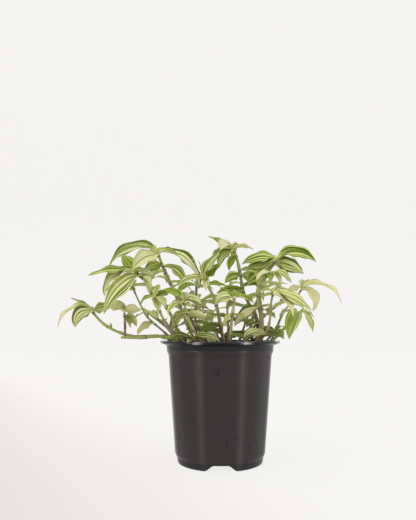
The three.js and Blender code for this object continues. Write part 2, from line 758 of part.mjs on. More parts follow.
// The bush's shoots by rule: each leans out along its heading and bears blades on alternate sides
function bushShoots() {
  const random = seededRandom(BUSH_SEED);
  const between = (low, high) => lerp(low, high, random());
  return BUSH.map(([heading, reach, height, footAngle, footRadius, count], index) => {
    const foot = [footRadius * Math.cos(rad(footAngle)), footRadius * Math.sin(rad(footAngle))];
    const head = [reach * Math.cos(rad(heading)), reach * Math.sin(rad(heading))];
    const path = [0, 0.3, 0.65, 1].map((share) => {
      const out = share ** 1.5;
      const wobble = share > 0 && share < 1 ? between(-2, 2) : 0;
      return [
        lerp(foot[0], head[0], out) + wobble,
        lerp(foot[1], head[1], out) - wobble,
        lerp(SOIL_HEIGHT, height, share),
      ];
    });
    const blades = Array.from({ length: count }, (_, k) => {
      const share = k / (count - 1);
      const hand = k % 2 === 0 ? 1 : -1;
      return [
        lerp(0.5, 1, share ** 0.7),
        heading + hand * between(35, 120) * (1 - 0.4 * share),
        between(8, 34) + 18 * share,
        between(...BUSH_BLADE) * (1 - 0.25 * share),
        between(50, 95),
        between(-15, 15),
        between(0.33, 0.42),
      ];
    });
    return { name: "bush_" + (index + 1), radius: BUSH_RADIUS, path, blades };
  });
}

const boxesApart = (a, b) =>
  a.min[0] > b.max[0] || b.min[0] > a.max[0] ||
  a.min[1] > b.max[1] || b.min[1] > a.max[1] ||
  a.min[2] > b.max[2] || b.min[2] > a.max[2];

const meet = (a, b) => !boxesApart(a.boundingBox(), b.boundingBox()) && a.intersect(b).volume() > 1e-3;

// All the leafy stems: first every stem, then every blade at the first turn that leaves it clear of the rest
function leafyStems(shoots, still) {
  const grown = shoots.map((shoot) => {
    const axes = [shoot, ...(shoot.branches ?? [])];
    const solid = axes.map((axis, i) => stemSolid(axis, i === 0)).reduce((a, b) => a.add(b));
    return { shoot, axes, solid, outer: [] };
  });
  grown.forEach((plant) => {
    plant.axes.forEach((axis) => {
      const curve = curveOf(axis.path);
      axis.blades.forEach((blade) => {
        const root = curve.getPoint(blade[0]);
        const turn = TURNS.find((candidate) => {
          const envelope = bladeSolid(root, blade, candidate, BLADE_CLEARANCE);
          if (still.some((solid) => meet(envelope, solid))) return false;
          if (grown.some((other) => other !== plant && meet(envelope, other.solid))) return false;
          const outer = bladeSolid(root, blade, candidate, 0, 1);
          return !plant.outer.some((solid) => meet(outer, solid));
        });
        if (!turn) return;
        plant.solid = plant.solid.add(bladeSolid(root, blade, turn));
        plant.outer.push(bladeSolid(root, blade, turn, 0, 1));
      });
    });
  });
  return grown;
}

const finish = (name, color, roughness) =>
  new THREE.MeshStandardMaterial({ name, color, roughness, metalness: 0 });
const POT_PLASTIC = finish("black_plastic", 0x2e2c2c, 0.45);
const POTTING_MIX = finish("potting_mix", 0x3a2a1f, 0.95);
const FOLIAGE = finish("variegated_leaf", 0xa8b56b, 0.5);

function named(name, solid, material) {
  const mesh = new THREE.Mesh(geometryOf(solid), material);
  mesh.name = name;
  return mesh;
}

const shoots = [...SHOOTS, ...bushShoots()];
const pot = potSolid();
const soil = soilSolid(shoots.map(holeSolid));

const plant = new THREE.Group();
plant.name = "tradescantia";
leafyStems(shoots, [pot, soil]).forEach(({ shoot, solid }) => {
  plant.add(named("leafy_stem_" + shoot.name, solid, FOLIAGE));
});

const pottedPlant = new THREE.Group();
pottedPlant.add(named("pot", pot, POT_PLASTIC), named("soil", soil, POTTING_MIX), plant);

export default pottedPlant;
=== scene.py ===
"""The looks of the potted tradescantia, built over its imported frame.

Shapes and tables are in millimetres and degrees, node trees and finishes in metres and radians.
"""

from __future__ import annotations

import logging
import math
from collections.abc import Callable, Sequence
from dataclasses import dataclass
from enum import Enum

import bpy
from bpy.types import Material, Mesh, Node, NodeSocket, NodeTree, Object
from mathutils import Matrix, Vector, noise
from mathutils.kdtree import KDTree

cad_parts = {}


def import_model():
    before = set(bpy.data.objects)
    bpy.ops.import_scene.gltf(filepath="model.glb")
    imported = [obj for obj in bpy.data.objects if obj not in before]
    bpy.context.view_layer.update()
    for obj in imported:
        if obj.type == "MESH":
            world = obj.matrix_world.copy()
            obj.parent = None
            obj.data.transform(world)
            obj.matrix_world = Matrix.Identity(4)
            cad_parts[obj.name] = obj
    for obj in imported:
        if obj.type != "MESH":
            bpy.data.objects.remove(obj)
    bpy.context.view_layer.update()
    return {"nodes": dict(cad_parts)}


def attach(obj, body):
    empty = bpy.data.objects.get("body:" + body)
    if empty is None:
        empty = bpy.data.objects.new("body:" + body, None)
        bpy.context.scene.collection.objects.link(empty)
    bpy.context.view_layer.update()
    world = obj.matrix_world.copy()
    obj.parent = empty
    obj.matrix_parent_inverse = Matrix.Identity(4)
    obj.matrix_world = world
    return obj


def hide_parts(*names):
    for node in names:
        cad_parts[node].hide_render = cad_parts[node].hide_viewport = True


log = logging.getLogger("potted_tradescantia")

MM = 0.001
Colour = tuple[float, float, float, float]
# How fine and how rare specks are, and how fine and how strong the change of tone with them is
Grain = tuple[float, float, float, float]
Row = tuple[float, ...]
Point = tuple[float, float, float]
Values = dict[str, object]
Wires = dict[str, "Wire"]
Sockets = dict[str, tuple[str, ...]]


def shade(red: int, green: int, blue: int) -> Colour:
    """Turns a colour as a screen shows it into the shader's own values.

    Args:
        red: from 0 to 255.
        green: from 0 to 255.
        blue: from 0 to 255.

    Returns:
        The colour in linear light, opaque.
    """
    parts = (value / 255 for value in (red, green, blue))
    linear = [part / 12.92 if part <= 0.04045 else ((part + 0.055) / 1.055) ** 2.4 for part in parts]
    return (linear[0], linear[1], linear[2], 1.0)


def mixed(a: float, b: float, share: float) -> float:
    """Goes from a to b by a share from 0 to 1."""
    return (1 - share) * a + share * b


def spoke(angle: float, length: float) -> Vector:
    """A level arrow from the origin, at an angle in radians."""
    return Vector((math.cos(angle), math.sin(angle), 0)) * length


class Dice:
    """Random numbers by the same rule as the part's source, the same on each run."""

    SPAN = 1 << 32

    def __init__(self, seed: int) -> None:
        """Starts from a seed."""
        self.state = seed % self.SPAN

    def roll(self) -> float:
        """Draws the next number.

        Returns:
            A number from 0 to 1.
        """
        self.state = (self.state + 0x6D2B79F5) % self.SPAN
        state = self.state
        stirred = (state ^ (state >> 15)) * (state | 1) % self.SPAN
        stirred = ((stirred + (stirred ^ (stirred >> 7)) * (stirred | 61)) % self.SPAN) ^ stirred
        return (stirred ^ (stirred >> 14)) / self.SPAN

    def between(self, low: float, high: float) -> float:
        """Draws a number from low to high."""
        return mixed(low, high, self.roll())


def math_method(operation: str, swapped: bool = False) -> Callable[..., Wire]:
    """Makes a method of Wire that adds a math node.

    Args:
        operation: what the node does.
        swapped: whether the wire comes after the other value.

    Returns:
        The method.
    """

    def method(wire: Wire, *others: object) -> Wire:
        """Reckons with the wire and the other value."""
        values = (*others, wire) if swapped else (wire, *others)
        return wire.reckon(operation, *values)

    return method


class Wire:
    """A value or a vector that runs through a node tree and is reckoned with like a number."""

    def __init__(self, graph: Graph, socket: NodeSocket) -> None:
        """Keeps the graph and the output socket that the value comes from."""
        self.graph = graph
        self.socket = socket

    __add__ = math_method("ADD")
    __radd__ = math_method("ADD", swapped=True)
    __sub__ = math_method("SUBTRACT")
    __rsub__ = math_method("SUBTRACT", swapped=True)
    __truediv__ = math_method("DIVIDE")
    __pow__ = math_method("POWER")
    __gt__ = math_method("GREATER_THAN")
    size = math_method("ABSOLUTE")
    sin = math_method("SINE")
    cos = math_method("COSINE")
    at_most = math_method("MINIMUM")

    @property
    def is_vector(self) -> bool:
        """Whether the wire carries a vector."""
        return self.socket.type == "VECTOR"

    def reckon(self, operation: str, *values: object) -> Wire:
        """Adds a math node of the wire's own kind."""
        kind = "ShaderNodeVectorMath" if self.is_vector else "ShaderNodeMath"
        return self.graph.reckon(kind, operation, *values)

    def __mul__(self, other: object) -> Wire:
        """Multiplies, or scales a vector by a number.

        Args:
            other: the number, or a wire that carries one.

        Returns:
            The product.
        """
        if not self.is_vector:
            return self.reckon("MULTIPLY", self, other)
        return self.graph.out("ShaderNodeVectorMath", {"Vector": self, "Scale": other}, operation="SCALE")

    def __rmul__(self, other: object) -> Wire:
        """Multiplies a plain number by the wire."""
        return self * other

    def __neg__(self) -> Wire:
        """Turns the sign."""
        return self * -1.0

    def step(self, low: object, high: object) -> Wire:
        """Goes smoothly from 0 to 1 as the value goes from low to high."""
        values = {"Value": self, "From Min": low, "From Max": high}
        return self.graph.out("ShaderNodeMapRange", values, interpolation_type="SMOOTHSTEP")

    def fall(self, low: object, high: object) -> Wire:
        """Goes smoothly from 1 to 0 as the value goes from low to high."""
        return 1.0 - self.step(low, high)

    def bell(self, width: float) -> Wire:
        """A hump of 1 where the value is 0, which fades over the width."""
        scaled = self * (1 / width)
        return self.reckon("EXPONENT", -(scaled * scaled))


class Graph:
    """Adds nodes to a node tree and wires them together."""

    def __init__(self, tree: NodeTree) -> None:
        """Keeps the tree that is being built."""
        self.tree = tree

    def feed(self, socket: NodeSocket, value: object) -> None:
        """Links a wire to a socket, or sets the socket's own value.

        Args:
            socket: the input socket.
            value: a wire, an output socket or a plain value.
        """
        if isinstance(value, Wire):
            value = value.socket
        if isinstance(value, NodeSocket):
            self.tree.links.new(value, socket)
        else:
            socket.default_value = value

    def add(self, kind: str, values: Values | None = None, **settings: object) -> Node:
        """Adds a node.

        Args:
            kind: the node's type.
            values: what goes into its sockets, by their identifier or name.
            settings: the node's own properties.

        Returns:
            The new node.
        """
        node = self.tree.nodes.new(kind)
        for name, value in settings.items():
            setattr(node, name, value)
        for name, value in (values or {}).items():
            open_sockets = [socket for socket in node.inputs if socket.enabled]
            exact = [socket for socket in open_sockets if socket.identifier == name]
            named = exact or [socket for socket in open_sockets if socket.name == name]
            self.feed(named[0], value)
        return node

    def out(
        self, kind: str, values: Values | None = None, output: int | str = 0, **settings: object
    ) -> Wire:
        """Adds a node and takes one of its outputs.

        Args:
            kind: the node's type.
            values: what goes into its sockets.
            output: the number or name of the output that is taken.
            settings: the node's own properties.

        Returns:
            The output as a wire.
        """
        node = self.add(kind, values, **settings)
        enabled = [socket for socket in node.outputs if socket.enabled]
        return Wire(self, enabled[output] if isinstance(output, int) else node.outputs[output])

    def reckon(self, kind: str, operation: str, *values: object) -> Wire:
        """Adds a math node.

        Args:
            kind: the math node's type.
            operation: what it does.
            values: its inputs in order.

        Returns:
            The result as a wire.
        """
        node = self.tree.nodes.new(kind)
        node.operation = operation
        for socket, value in zip(node.inputs, values):
            self.feed(socket, value)
        return Wire(self, node.outputs[0])

    def vector(self, x: object, y: object, z: object) -> Wire:
        """Puts three numbers together as a vector."""
        return self.out("ShaderNodeCombineXYZ", {"X": x, "Y": y, "Z": z})

    def parts(self, vector: Wire) -> tuple[Wire, ...]:
        """Takes a vector apart into its three numbers."""
        node = self.add("ShaderNodeSeparateXYZ", {"Vector": vector})
        return tuple(Wire(self, socket) for socket in node.outputs)

    def mix(self, share: object, a: object, b: object) -> Wire:
        """Goes from number a to number b by a share."""
        return self.out("ShaderNodeMix", {"Factor_Float": share, "A_Float": a, "B_Float": b})

    def blend(self, share: object, a: object, b: object) -> Wire:
        """Goes from colour a to colour b by a share."""
        values = {"Factor_Float": share, "A_Color": a, "B_Color": b}
        return self.out("ShaderNodeMix", values, data_type="RGBA")

    def joined(self, *parts: object) -> Wire:
        """Joins pieces of geometry.

        Args:
            parts: the pieces, in their order in the result.

        Returns:
            All of them as one.
        """
        node = self.add("GeometryNodeJoinGeometry")
        for part in reversed(parts):
            self.feed(node.inputs[0], part)
        return Wire(self, node.outputs[0])

    def real(self, geometry: object) -> Wire:
        """Turns instances into real geometry."""
        return self.out("GeometryNodeRealizeInstances", {"Geometry": geometry})

    def covered(self, geometry: object, material: object, where: object = True) -> Wire:
        """Gives geometry a material, all of it or where a selection says so."""
        values = {"Geometry": geometry, "Material": material, "Selection": where}
        return self.out("GeometryNodeSetMaterial", values)

    def position(self) -> Wire:
        """Where each point of the geometry is."""
        return self.out("GeometryNodeInputPosition")

    def named(self, name: str, kind: str = "FLOAT") -> Wire:
        """Reads a number or vector that the geometry carries."""
        return self.out("GeometryNodeInputNamedAttribute", {"Name": name}, data_type=kind)

    def kept(self, geometry: object, name: str, value: object, kind: str = "FLOAT") -> Wire:
        """Keeps a value on the geometry's points under a name."""
        values = {"Geometry": geometry, "Name": name, "Value": value}
        return self.out("GeometryNodeStoreNamedAttribute", values, data_type=kind, domain="POINT")

    def cloud(self, vector: object, scale: object, detail: float = 1.0) -> Wire:
        """Soft noise around 0.5.

        Args:
            vector: where it is read.
            scale: how fine it is.
            detail: how many finer layers it has.

        Returns:
            The noise as a wire.
        """
        return self.out("ShaderNodeTexNoise", {"Vector": vector, "Scale": scale, "Detail": detail})


def new_tree(name: str, kind: str, inputs: Sockets, outputs: Sockets) -> tuple[Graph, Wires]:
    """Starts a node group with named sockets.

    Args:
        name: the group's name.
        kind: the tree's type.
        inputs: the names of its inputs, under each kind of socket.
        outputs: the names of its outputs, under each kind of socket.

    Returns:
        The graph to build in and the inputs as wires.
    """
    tree = bpy.data.node_groups.new(name, kind)
    for in_out, sockets in (("INPUT", inputs), ("OUTPUT", outputs)):
        for socket_kind, names in sockets.items():
            for label in names:
                tree.interface.new_socket(label, in_out=in_out, socket_type="NodeSocket" + socket_kind)
    graph = Graph(tree)
    entry = tree.nodes.new("NodeGroupInput")
    return graph, {label: Wire(graph, entry.outputs[label]) for names in inputs.values() for label in names}


def close_tree(graph: Graph, results: Values) -> NodeTree:
    """Wires a node group's outputs.

    Args:
        graph: the graph of the group.
        results: what each named output gives.

    Returns:
        The finished tree.
    """
    exit_node = graph.tree.nodes.new("NodeGroupOutput")
    for name, value in results.items():
        graph.feed(exit_node.inputs[name], value)
    return graph.tree


def plain_piece(name: str, worker: Object, tree: NodeTree, values: Values) -> Object:
    """Runs a geometry tree on an object and keeps the result as a plain mesh.

    Args:
        name: the new piece's name.
        worker: the object that the tree starts from, which is removed.
        tree: the geometry tree.
        values: its named inputs.

    Returns:
        The piece, with its place in its mesh.
    """
    modifier = worker.modifiers.new(tree.name, "NODES")
    modifier.node_group = tree
    for item in tree.interface.items_tree:
        if item.name in values:
            modifier[item.identifier] = values[item.name]
    scene_state = bpy.context.evaluated_depsgraph_get()
    evaluated = worker.evaluated_get(scene_state)
    mesh = bpy.data.meshes.new_from_object(evaluated, preserve_all_data_layers=True, depsgraph=scene_state)
    worker.modifiers.remove(modifier)
    bpy.data.objects.remove(worker)
    return placed(name, mesh)


def placed(name: str, mesh: Mesh) -> Object:
    """Puts a mesh in the scene as an object at the origin.

    Args:
        name: the name of the object and of its mesh.
        mesh: the mesh, with the place in its corners.

    Returns:
        The object.
    """
    mesh.name = name
    piece = bpy.data.objects.new(name, mesh)
    bpy.context.scene.collection.objects.link(piece)
    return piece


def dress(piece: Object, slot: str, *nodes: str) -> None:
    """Sets a piece on the one body and hides the CAD nodes that it stands for.

    Args:
        piece: the piece.
        slot: not used.
        nodes: the CAD nodes that it stands for.
    """
    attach(piece, "root")
    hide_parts(*nodes)
    log.info("%s: %d faces for %s", piece.name, len(piece.data.polygons), ", ".join(nodes))


def streak_group() -> NodeTree:
    """Builds the shader group for what runs along leaves and stems.

    Returns:
        A group with masks of the pale streaks, the inner streaks and the thin lines, and with fine veins.
    """
    inputs = {"Float": ("Along", "Across", "Phase", "Pale share", "Bands")}
    outputs = {"Float": ("Pale", "Inner", "Lines", "Veins")}
    graph, given = new_tree("long_streaks", "ShaderNodeTree", inputs, outputs)
    along, across, phase = given["Along"], given["Across"], given["Phase"]

    def strands(fine: float, long: float, shift: Point, detail: float = 1.0) -> Wire:
        """Gives noise that is drawn out along the leaf.

        Args:
            fine: how often it changes across the leaf.
            long: how often it changes along it.
            shift: how far the phase moves it sideways, onwards and deeper.
            detail: how many finer layers it has.

        Returns:
            The noise around 0.5.
        """
        sideways, onwards, deeper = (phase * far for far in shift)
        place = graph.vector(across * fine + sideways, along * long + onwards, deeper)
        return graph.cloud(place, 1.0, detail)

    broad = strands(3.1, 0.45, (37.0, 11.0, 5.0), 1.5)
    bands = (across * 13.0 + phase * 6.3 + (along - 0.4) * 0.6).cos() * 0.24 + 0.5
    level = graph.mix(given["Bands"], broad, bands)
    edge = (0.5 - given["Pale share"]) * 0.5 + 0.5
    results = {
        "Pale": level.step(edge - 0.02, edge + 0.02),
        "Inner": strands(6.5, 0.8, (19.0, 0.0, 9.0)).step(0.48, 0.54),
        "Lines": strands(9.5, 0.7, (23.0, 0.0, 13.0), 0.0).step(0.555, 0.585),
        "Veins": strands(22.0, 1.1, (7.0, 0.0, 3.0)),
    }
    return close_tree(graph, results)


def speckle_group() -> NodeTree:
    """Builds the shader group for small uneven specks and the soft change of tone behind them.

    Returns:
        A group with a mask of specks, a soft tone around 1 and a height.
    """
    numbers = ("Speck scale", "Speck level", "Tone scale", "Tone range")
    inputs = {"Vector": ("Vector",), "Float": numbers}
    outputs = {"Float": ("Specks", "Tone", "Height")}
    graph, given = new_tree("specks_and_tone", "ShaderNodeTree", inputs, outputs)
    fine = graph.cloud(given["Vector"], given["Speck scale"], 2.0)
    specks = fine.step(given["Speck level"], given["Speck level"] + 0.05)
    soft = graph.cloud(given["Vector"], given["Tone scale"], 3.0)
    tone = 1.0 + (soft - 0.5) * 2.0 * given["Tone range"]
    return close_tree(graph, {"Specks": specks, "Tone": tone, "Height": fine})


class Finish:
    """What every finish shares: its material, its graph and the groups that it may use."""

    GROUPS: dict[str, NodeTree] = {}

    def start(self, name: str, roughness: float, **constants: float) -> None:
        """Makes the material and its one surface shader.

        Args:
            name: the material's name.
            roughness: how matt it is where nothing else says so.
            constants: the shader's other plain numbers, by socket name with low lines for blanks.
        """
        self.material = bpy.data.materials.new(name)
        self.material.use_nodes = True
        self.graph = Graph(self.material.node_tree)
        self.surface = self.material.node_tree.nodes["Principled BSDF"]
        self.surface.inputs["Roughness"].default_value = roughness
        for key, value in constants.items():
            self.surface.inputs[key.replace("_", " ")].default_value = value

    def group(self, name: str, builder: Callable[[], NodeTree], values: Values) -> Wires:
        """Places a shared shader group, which is built at its first use.

        Args:
            name: the key that the group is kept under.
            builder: what makes it.
            values: what goes into it.

        Returns:
            Its outputs as wires.
        """
        tree = Finish.GROUPS.get(name) or builder()
        Finish.GROUPS[name] = tree
        node = self.graph.add("ShaderNodeGroup", node_tree=tree)
        for key, value in values.items():
            self.graph.feed(node.inputs[key], value)
        return {socket.name: Wire(self.graph, socket) for socket in node.outputs}

    def streaks(self, along: object, across: object, phase: object, pale: object, bands: object) -> Wires:
        """Places the group of streaks that run along a leaf or stem."""
        values = {"Along": along, "Across": across, "Phase": phase, "Pale share": pale, "Bands": bands}
        return self.group("streaks", streak_group, values)

    def specks(self, scale: float, level: float, tone_scale: float, tone_range: float) -> Wires:
        """Places the group of specks and soft tone on the object's own coordinates.

        Args:
            scale: how fine the specks are.
            level: how rare they are, around 0.5.
            tone_scale: how fine the change of tone is.
            tone_range: how strong it is.

        Returns:
            The group's outputs.
        """
        values = {"Vector": self.place(), "Speck scale": scale, "Speck level": level}
        values |= {"Tone scale": tone_scale, "Tone range": tone_range}
        return self.group("specks", speckle_group, values)

    def place(self) -> Wire:
        """Where a point is on the object, in metres."""
        return self.graph.out("ShaderNodeTexCoord", output="Object")

    def attribute(self, name: str) -> Wire:
        """A number that the mesh carries."""
        return self.graph.out("ShaderNodeAttribute", output="Fac", attribute_name=name)

    def paint(self, colour: Wire, roughness: Wire | None = None) -> None:
        """Wires what the surface looks like.

        Args:
            colour: its colour.
            roughness: how matt it is, where that changes over the surface.
        """
        self.graph.feed(self.surface.inputs["Base Color"], colour)
        if roughness is not None:
            self.graph.feed(self.surface.inputs["Roughness"], roughness)

    def raise_surface(self, height: Wire, distance: float) -> None:
        """Adds fine relief.

        Args:
            height: the relief from 0 to 1.
            distance: how high 1 stands, in metres.
        """
        bump = self.graph.out("ShaderNodeBump", {"Height": height, "Distance": distance})
        self.graph.feed(self.surface.inputs["Normal"], bump)

    def toned(self, colour: object, tone: Wire) -> Wire:
        """Makes a colour lighter or darker.

        Args:
            colour: the colour.
            tone: what it is multiplied by, around 1.

        Returns:
            The colour with its tone.
        """
        grey = self.graph.vector(tone, tone, tone)
        values = {"Factor_Float": 1.0, "A_Color": colour, "B_Color": grey}
        return self.graph.out("ShaderNodeMix", values, data_type="RGBA", blend_type="MULTIPLY")

    def layered(self, colour: object, *layers: tuple[object, object]) -> object:
        """Lays tints over a colour.

        Args:
            colour: the colour at the bottom.
            layers: the share and the tint of each layer, from the bottom up.

        Returns:
            The colour on top.
        """
        for share, tint in layers:
            colour = self.graph.blend(share, colour, tint)
        return colour


@dataclass
class LeafFinish(Finish):
    """Cream leaf with green streaks along it, paler underneath, partly its own colour and partly painted
    light, and darkened low inside the pot with painted shade.
    """

    cream: Colour = shade(178, 177, 131)
    beige: Colour = shade(180, 172, 134)
    pale_green: Colour = shade(178, 183, 108)
    mid_green: Colour = shade(112, 130, 34)
    dark_green: Colour = shade(42, 65, 8)
    # The leaf's paler underside, made lighter still as painted light against the shade underneath
    underside: Colour = shade(184, 192, 128)
    dry_tip: Colour = shade(164, 140, 92)
    # Painted shade for leaves low down inside the pot's rim
    low_darkening: Colour = shade(60, 64, 28)
    low_darkening_from: float = 0.152
    low_darkening_to: float = 0.12
    in_pot: float = 0.058
    outside_pot: float = 0.07
    roughness: float = 0.42
    relief: float = 0.00016
    glow_depth: float = 0.001
    glow_reach: Point = (0.8, 0.85, 0.35)

    def make(self) -> Material:
        """Builds the material.

        Returns:
            The leaf material.
        """
        self.start("leaf_cream_and_green", self.roughness, Specular_IOR_Level=0.1, Subsurface_Weight=0.25)
        self.surface.inputs["Subsurface Radius"].default_value = self.glow_reach
        self.surface.inputs["Subsurface Scale"].default_value = self.glow_depth
        graph = self.graph
        names = ("share", "across", "phase", "cream", "bands")
        along, across, phase, cream, bands = (self.attribute(name) for name in names)
        streaks = self.streaks(along, across, phase, cream, bands)
        pale, inner, lines, veins = (streaks[name] for name in ("Pale", "Inner", "Lines", "Veins"))
        green = graph.blend(inner * 0.7 + bands * 0.4, self.mid_green, self.dark_green)
        green = graph.blend(lines * 0.5, green, self.pale_green)
        greener = (inner * 0.3 + 0.7) * cream.fall(0.1, 0.95)
        tanned = (phase.step(0.4, 0.9) * 0.6 + cream.step(0.9, 0.98) * 0.5).at_most(1.0)
        marked = 1.0 - cream.step(0.88, 0.98) * 0.85
        line = graph.blend(inner * 0.35, self.dark_green, self.mid_green)
        light = self.layered(
            self.cream,
            (tanned, self.beige),
            (greener, self.pale_green),
            (lines * marked * 0.95, line),
        )
        margin = (across.size() + (veins - 0.5) * 0.2).step(0.62, 0.72)
        below = self.attribute("layer").fall(-0.35, 0.1)
        x, y, height = graph.parts(self.place())
        reach = (x * x + y * y) ** 0.5
        # Leaves low down inside the rim are darkened: painted shade
        low = height.fall(self.low_darkening_to, self.low_darkening_from) * reach.fall(self.in_pot, self.outside_pot)
        colour = self.layered(
            green,
            (pale, light),
            (veins.step(0.6, 0.66) * marked * 0.35, self.mid_green),
            (margin * self.attribute("edge"), self.dark_green),
            (across.size().step(0.86, 0.96) * 0.6, self.mid_green),
            (across.bell(0.05) * 0.4, self.pale_green),
            (along.fall(0.02, 0.16) * 0.6, self.pale_green),
            (along.step(0.965, 1.0) * phase.step(0.45, 0.6) * 0.7, self.dry_tip),
            # paler underside, partly the leaf's own colour and partly painted light
            (below * 0.35, self.underside),
            # painted shade low inside the rim
            (low * (0.92 - pale * 0.5), self.low_darkening),
        )
        # Undersides are also toned lighter: painted light
        tone = (veins - 0.5) * 0.45 + 1.14 + below * 0.42
        self.paint(self.toned(colour, tone * graph.mix(phase, 0.95, 1.07)))
        self.raise_surface(veins, self.relief)
        return self.material


@dataclass
class StemFinish(Finish):
    """Fleshy green stem, streaked along its length and flushed purple brown."""

    green: Colour = shade(130, 142, 66)
    pale: Colour = shade(178, 182, 114)
    flush: Colour = shade(110, 73, 69)
    node_ring: Colour = shade(88, 78, 52)
    low_darkening: Colour = shade(100, 78, 60)
    low_darkening_from: float = 0.135
    low_darkening_to: float = 0.11
    pale_share: float = 0.42
    grain: Grain = (2600.0, 0.6, 220.0, 0.16)
    roughness: float = 0.45
    relief: float = 0.0001

    def make(self) -> Material:
        """Builds the material.

        Returns:
            The stem material.
        """
        self.start("stem_green_and_purple", self.roughness, Specular_IOR_Level=0.4)
        names = ("run", "around", "phase", "flush", "ring")
        run, around, phase, flush, ring = (self.attribute(name) for name in names)
        streaks = self.streaks(run, around, phase, self.pale_share, 0.0)
        specks = self.specks(*self.grain)
        height = self.graph.parts(self.place())[2]
        colour = self.layered(
            self.green,
            (streaks["Pale"] * 0.6, self.pale),
            (flush * (0.75 + streaks["Inner"] * 0.25), self.flush),
            (ring * 0.8, self.node_ring),
            (specks["Specks"] * 0.18, self.flush),
            # darker and browner towards the soil
            (height.fall(self.low_darkening_to, self.low_darkening_from) * 0.6, self.low_darkening),
        )
        self.paint(self.toned(colour, specks["Tone"]))
        self.raise_surface(streaks["Veins"], self.relief)
        return self.material


@dataclass
class PotPlasticFinish(Finish):
    """Thin black nursery pot plastic, glossy at the rim, with dried water spots and dust specks, painted
    highlights along the ridges and at the rim, and painted shade in the neck and on the foot.
    """

    black: Colour = shade(36, 32, 32)
    rim: Colour = shade(14, 15, 20)
    # Painted shade: the neck under the rim and the foot are darkened with this colour
    neck: Colour = shade(18, 17, 18)
    water_mark: Colour = shade(18, 17, 19)
    # Dust specks, and the painted highlight along the ridges
    dust_and_ridge_sheen: Colour = shade(104, 101, 97)
    # Painted glints on the rim at the ridges
    painted_glint: Colour = shade(150, 150, 158)
    gloss: float = 0.16
    dull: float = 0.3
    ridge_count: int = 8
    ridge_sheen_width: float = 0.07
    neck_foot: float = 0.1106
    rim_foot: float = 0.1168
    foot_top: float = 0.0094
    foot_fade: float = 0.004
    edge: float = 0.0004
    spots: Grain = (290.0, 0.6, 24.0, 0.22)
    grit: Grain = (900.0, 0.72, 60.0, 0.1)
    relief: float = 0.00005

    def make(self) -> Material:
        """Builds the material.

        Returns:
            The pot's material.
        """
        self.start("pot_black_plastic", self.dull, Specular_IOR_Level=0.25)
        graph = self.graph
        x, y, height = graph.parts(self.place())
        angle = graph.reckon("ShaderNodeMath", "ARCTAN2", y, x)
        neck = height.step(self.neck_foot, self.neck_foot + self.edge)
        rim = height.step(self.rim_foot, self.rim_foot + self.edge)
        foot = height.fall(self.foot_top - self.foot_fade, self.foot_top)
        half_turns = self.ridge_count / 2
        # Near each ridge the plastic is painted lighter: a painted highlight, and painted glints on the rim
        ridge = (angle * half_turns).cos().bell(half_turns * self.ridge_sheen_width)
        spots = self.specks(*self.spots)
        grit = self.specks(*self.grit)
        patchy = graph.cloud(self.place(), 22.0).step(0.46, 0.6)
        mark = (spots["Height"].step(0.59, 0.67) * patchy).at_most(1.0 - rim)
        colour = self.layered(
            self.black,
            (mark * 0.85, self.water_mark),
            # painted highlight along the ridges, below the neck
            (ridge * (1.0 - neck) * 0.16, self.dust_and_ridge_sheen),
            # painted shade in the neck under the rim and on the foot
            (neck * 0.65 + foot * 0.5, self.neck),
            (rim, self.rim),
            # painted glints on the rim at the ridges
            (ridge * rim * spots["Height"].step(0.35, 0.5) * 0.8, self.painted_glint),
            (grit["Specks"] * 0.3, self.dust_and_ridge_sheen),
        )
        roughness = graph.mix(rim, self.dull, self.gloss) + (grit["Tone"] - 1.0) * 0.4
        self.paint(self.toned(colour, spots["Tone"]), roughness)
        self.raise_surface(grit["Height"], self.relief)
        return self.material


@dataclass
class GrainFinish(Finish):
    """The potting mix, or the loose bits in it: two colours in small grains."""

    name: str
    main: Colour
    other: Colour
    roughness: float
    specular: float = 0.25
    grain: Grain = (1500.0, 0.5, 400.0, 0.3)
    relief: float = 0.0003

    def make(self) -> Material:
        """Builds the material.

        Returns:
            The material of the mix or of one kind of bit.
        """
        self.start(self.name, self.roughness, Specular_IOR_Level=self.specular)
        grain = self.specks(*self.grain)
        colour = self.graph.blend(grain["Specks"], self.main, self.other)
        self.paint(self.toned(colour, grain["Tone"]))
        self.raise_surface(grain["Height"], self.relief)
        return self.material


@dataclass
class StageFinish(Finish):
    """Plain pale glowing paper for the floor and backdrop, a little darker and warmer in the near left as
    painted shade.
    """

    paper: Colour = shade(76, 75, 74)
    glow: Colour = shade(255, 254, 252)
    near_left_shade: Colour = shade(236, 231, 227)
    grain: Grain = (40.0, 0.5, 2.0, 0.01)

    def make(self) -> Material:
        """Builds the material.

        Returns:
            The paper's material.
        """
        self.start("pale_paper", 0.9, Specular_IOR_Level=0.1, Emission_Strength=0.82)
        x, y, _ = self.graph.parts(self.place())
        # Painted shade: the glow is darker and warmer towards the near left
        near = (x + y * 0.6).step(0.02, -0.3)
        glow = self.graph.blend(near, self.glow, self.near_left_shade)
        self.graph.feed(self.surface.inputs["Emission Color"], glow)
        grain = self.specks(*self.grain)
        self.paint(self.toned(self.paper, grain["Tone"]))
        return self.material


class Marking(Enum):
    """How a leaf is marked: how regular its streaks are, and how dark its margins."""

    STREAKED = (0.0, 0.0)
    STRIPED = (0.75, 0.0)
    EDGED = (0.0, 0.9)


STREAKED, STRIPED, EDGED = Marking

# The share of a blade's length over which it takes its roll
SETTLED_SHARE = 0.4


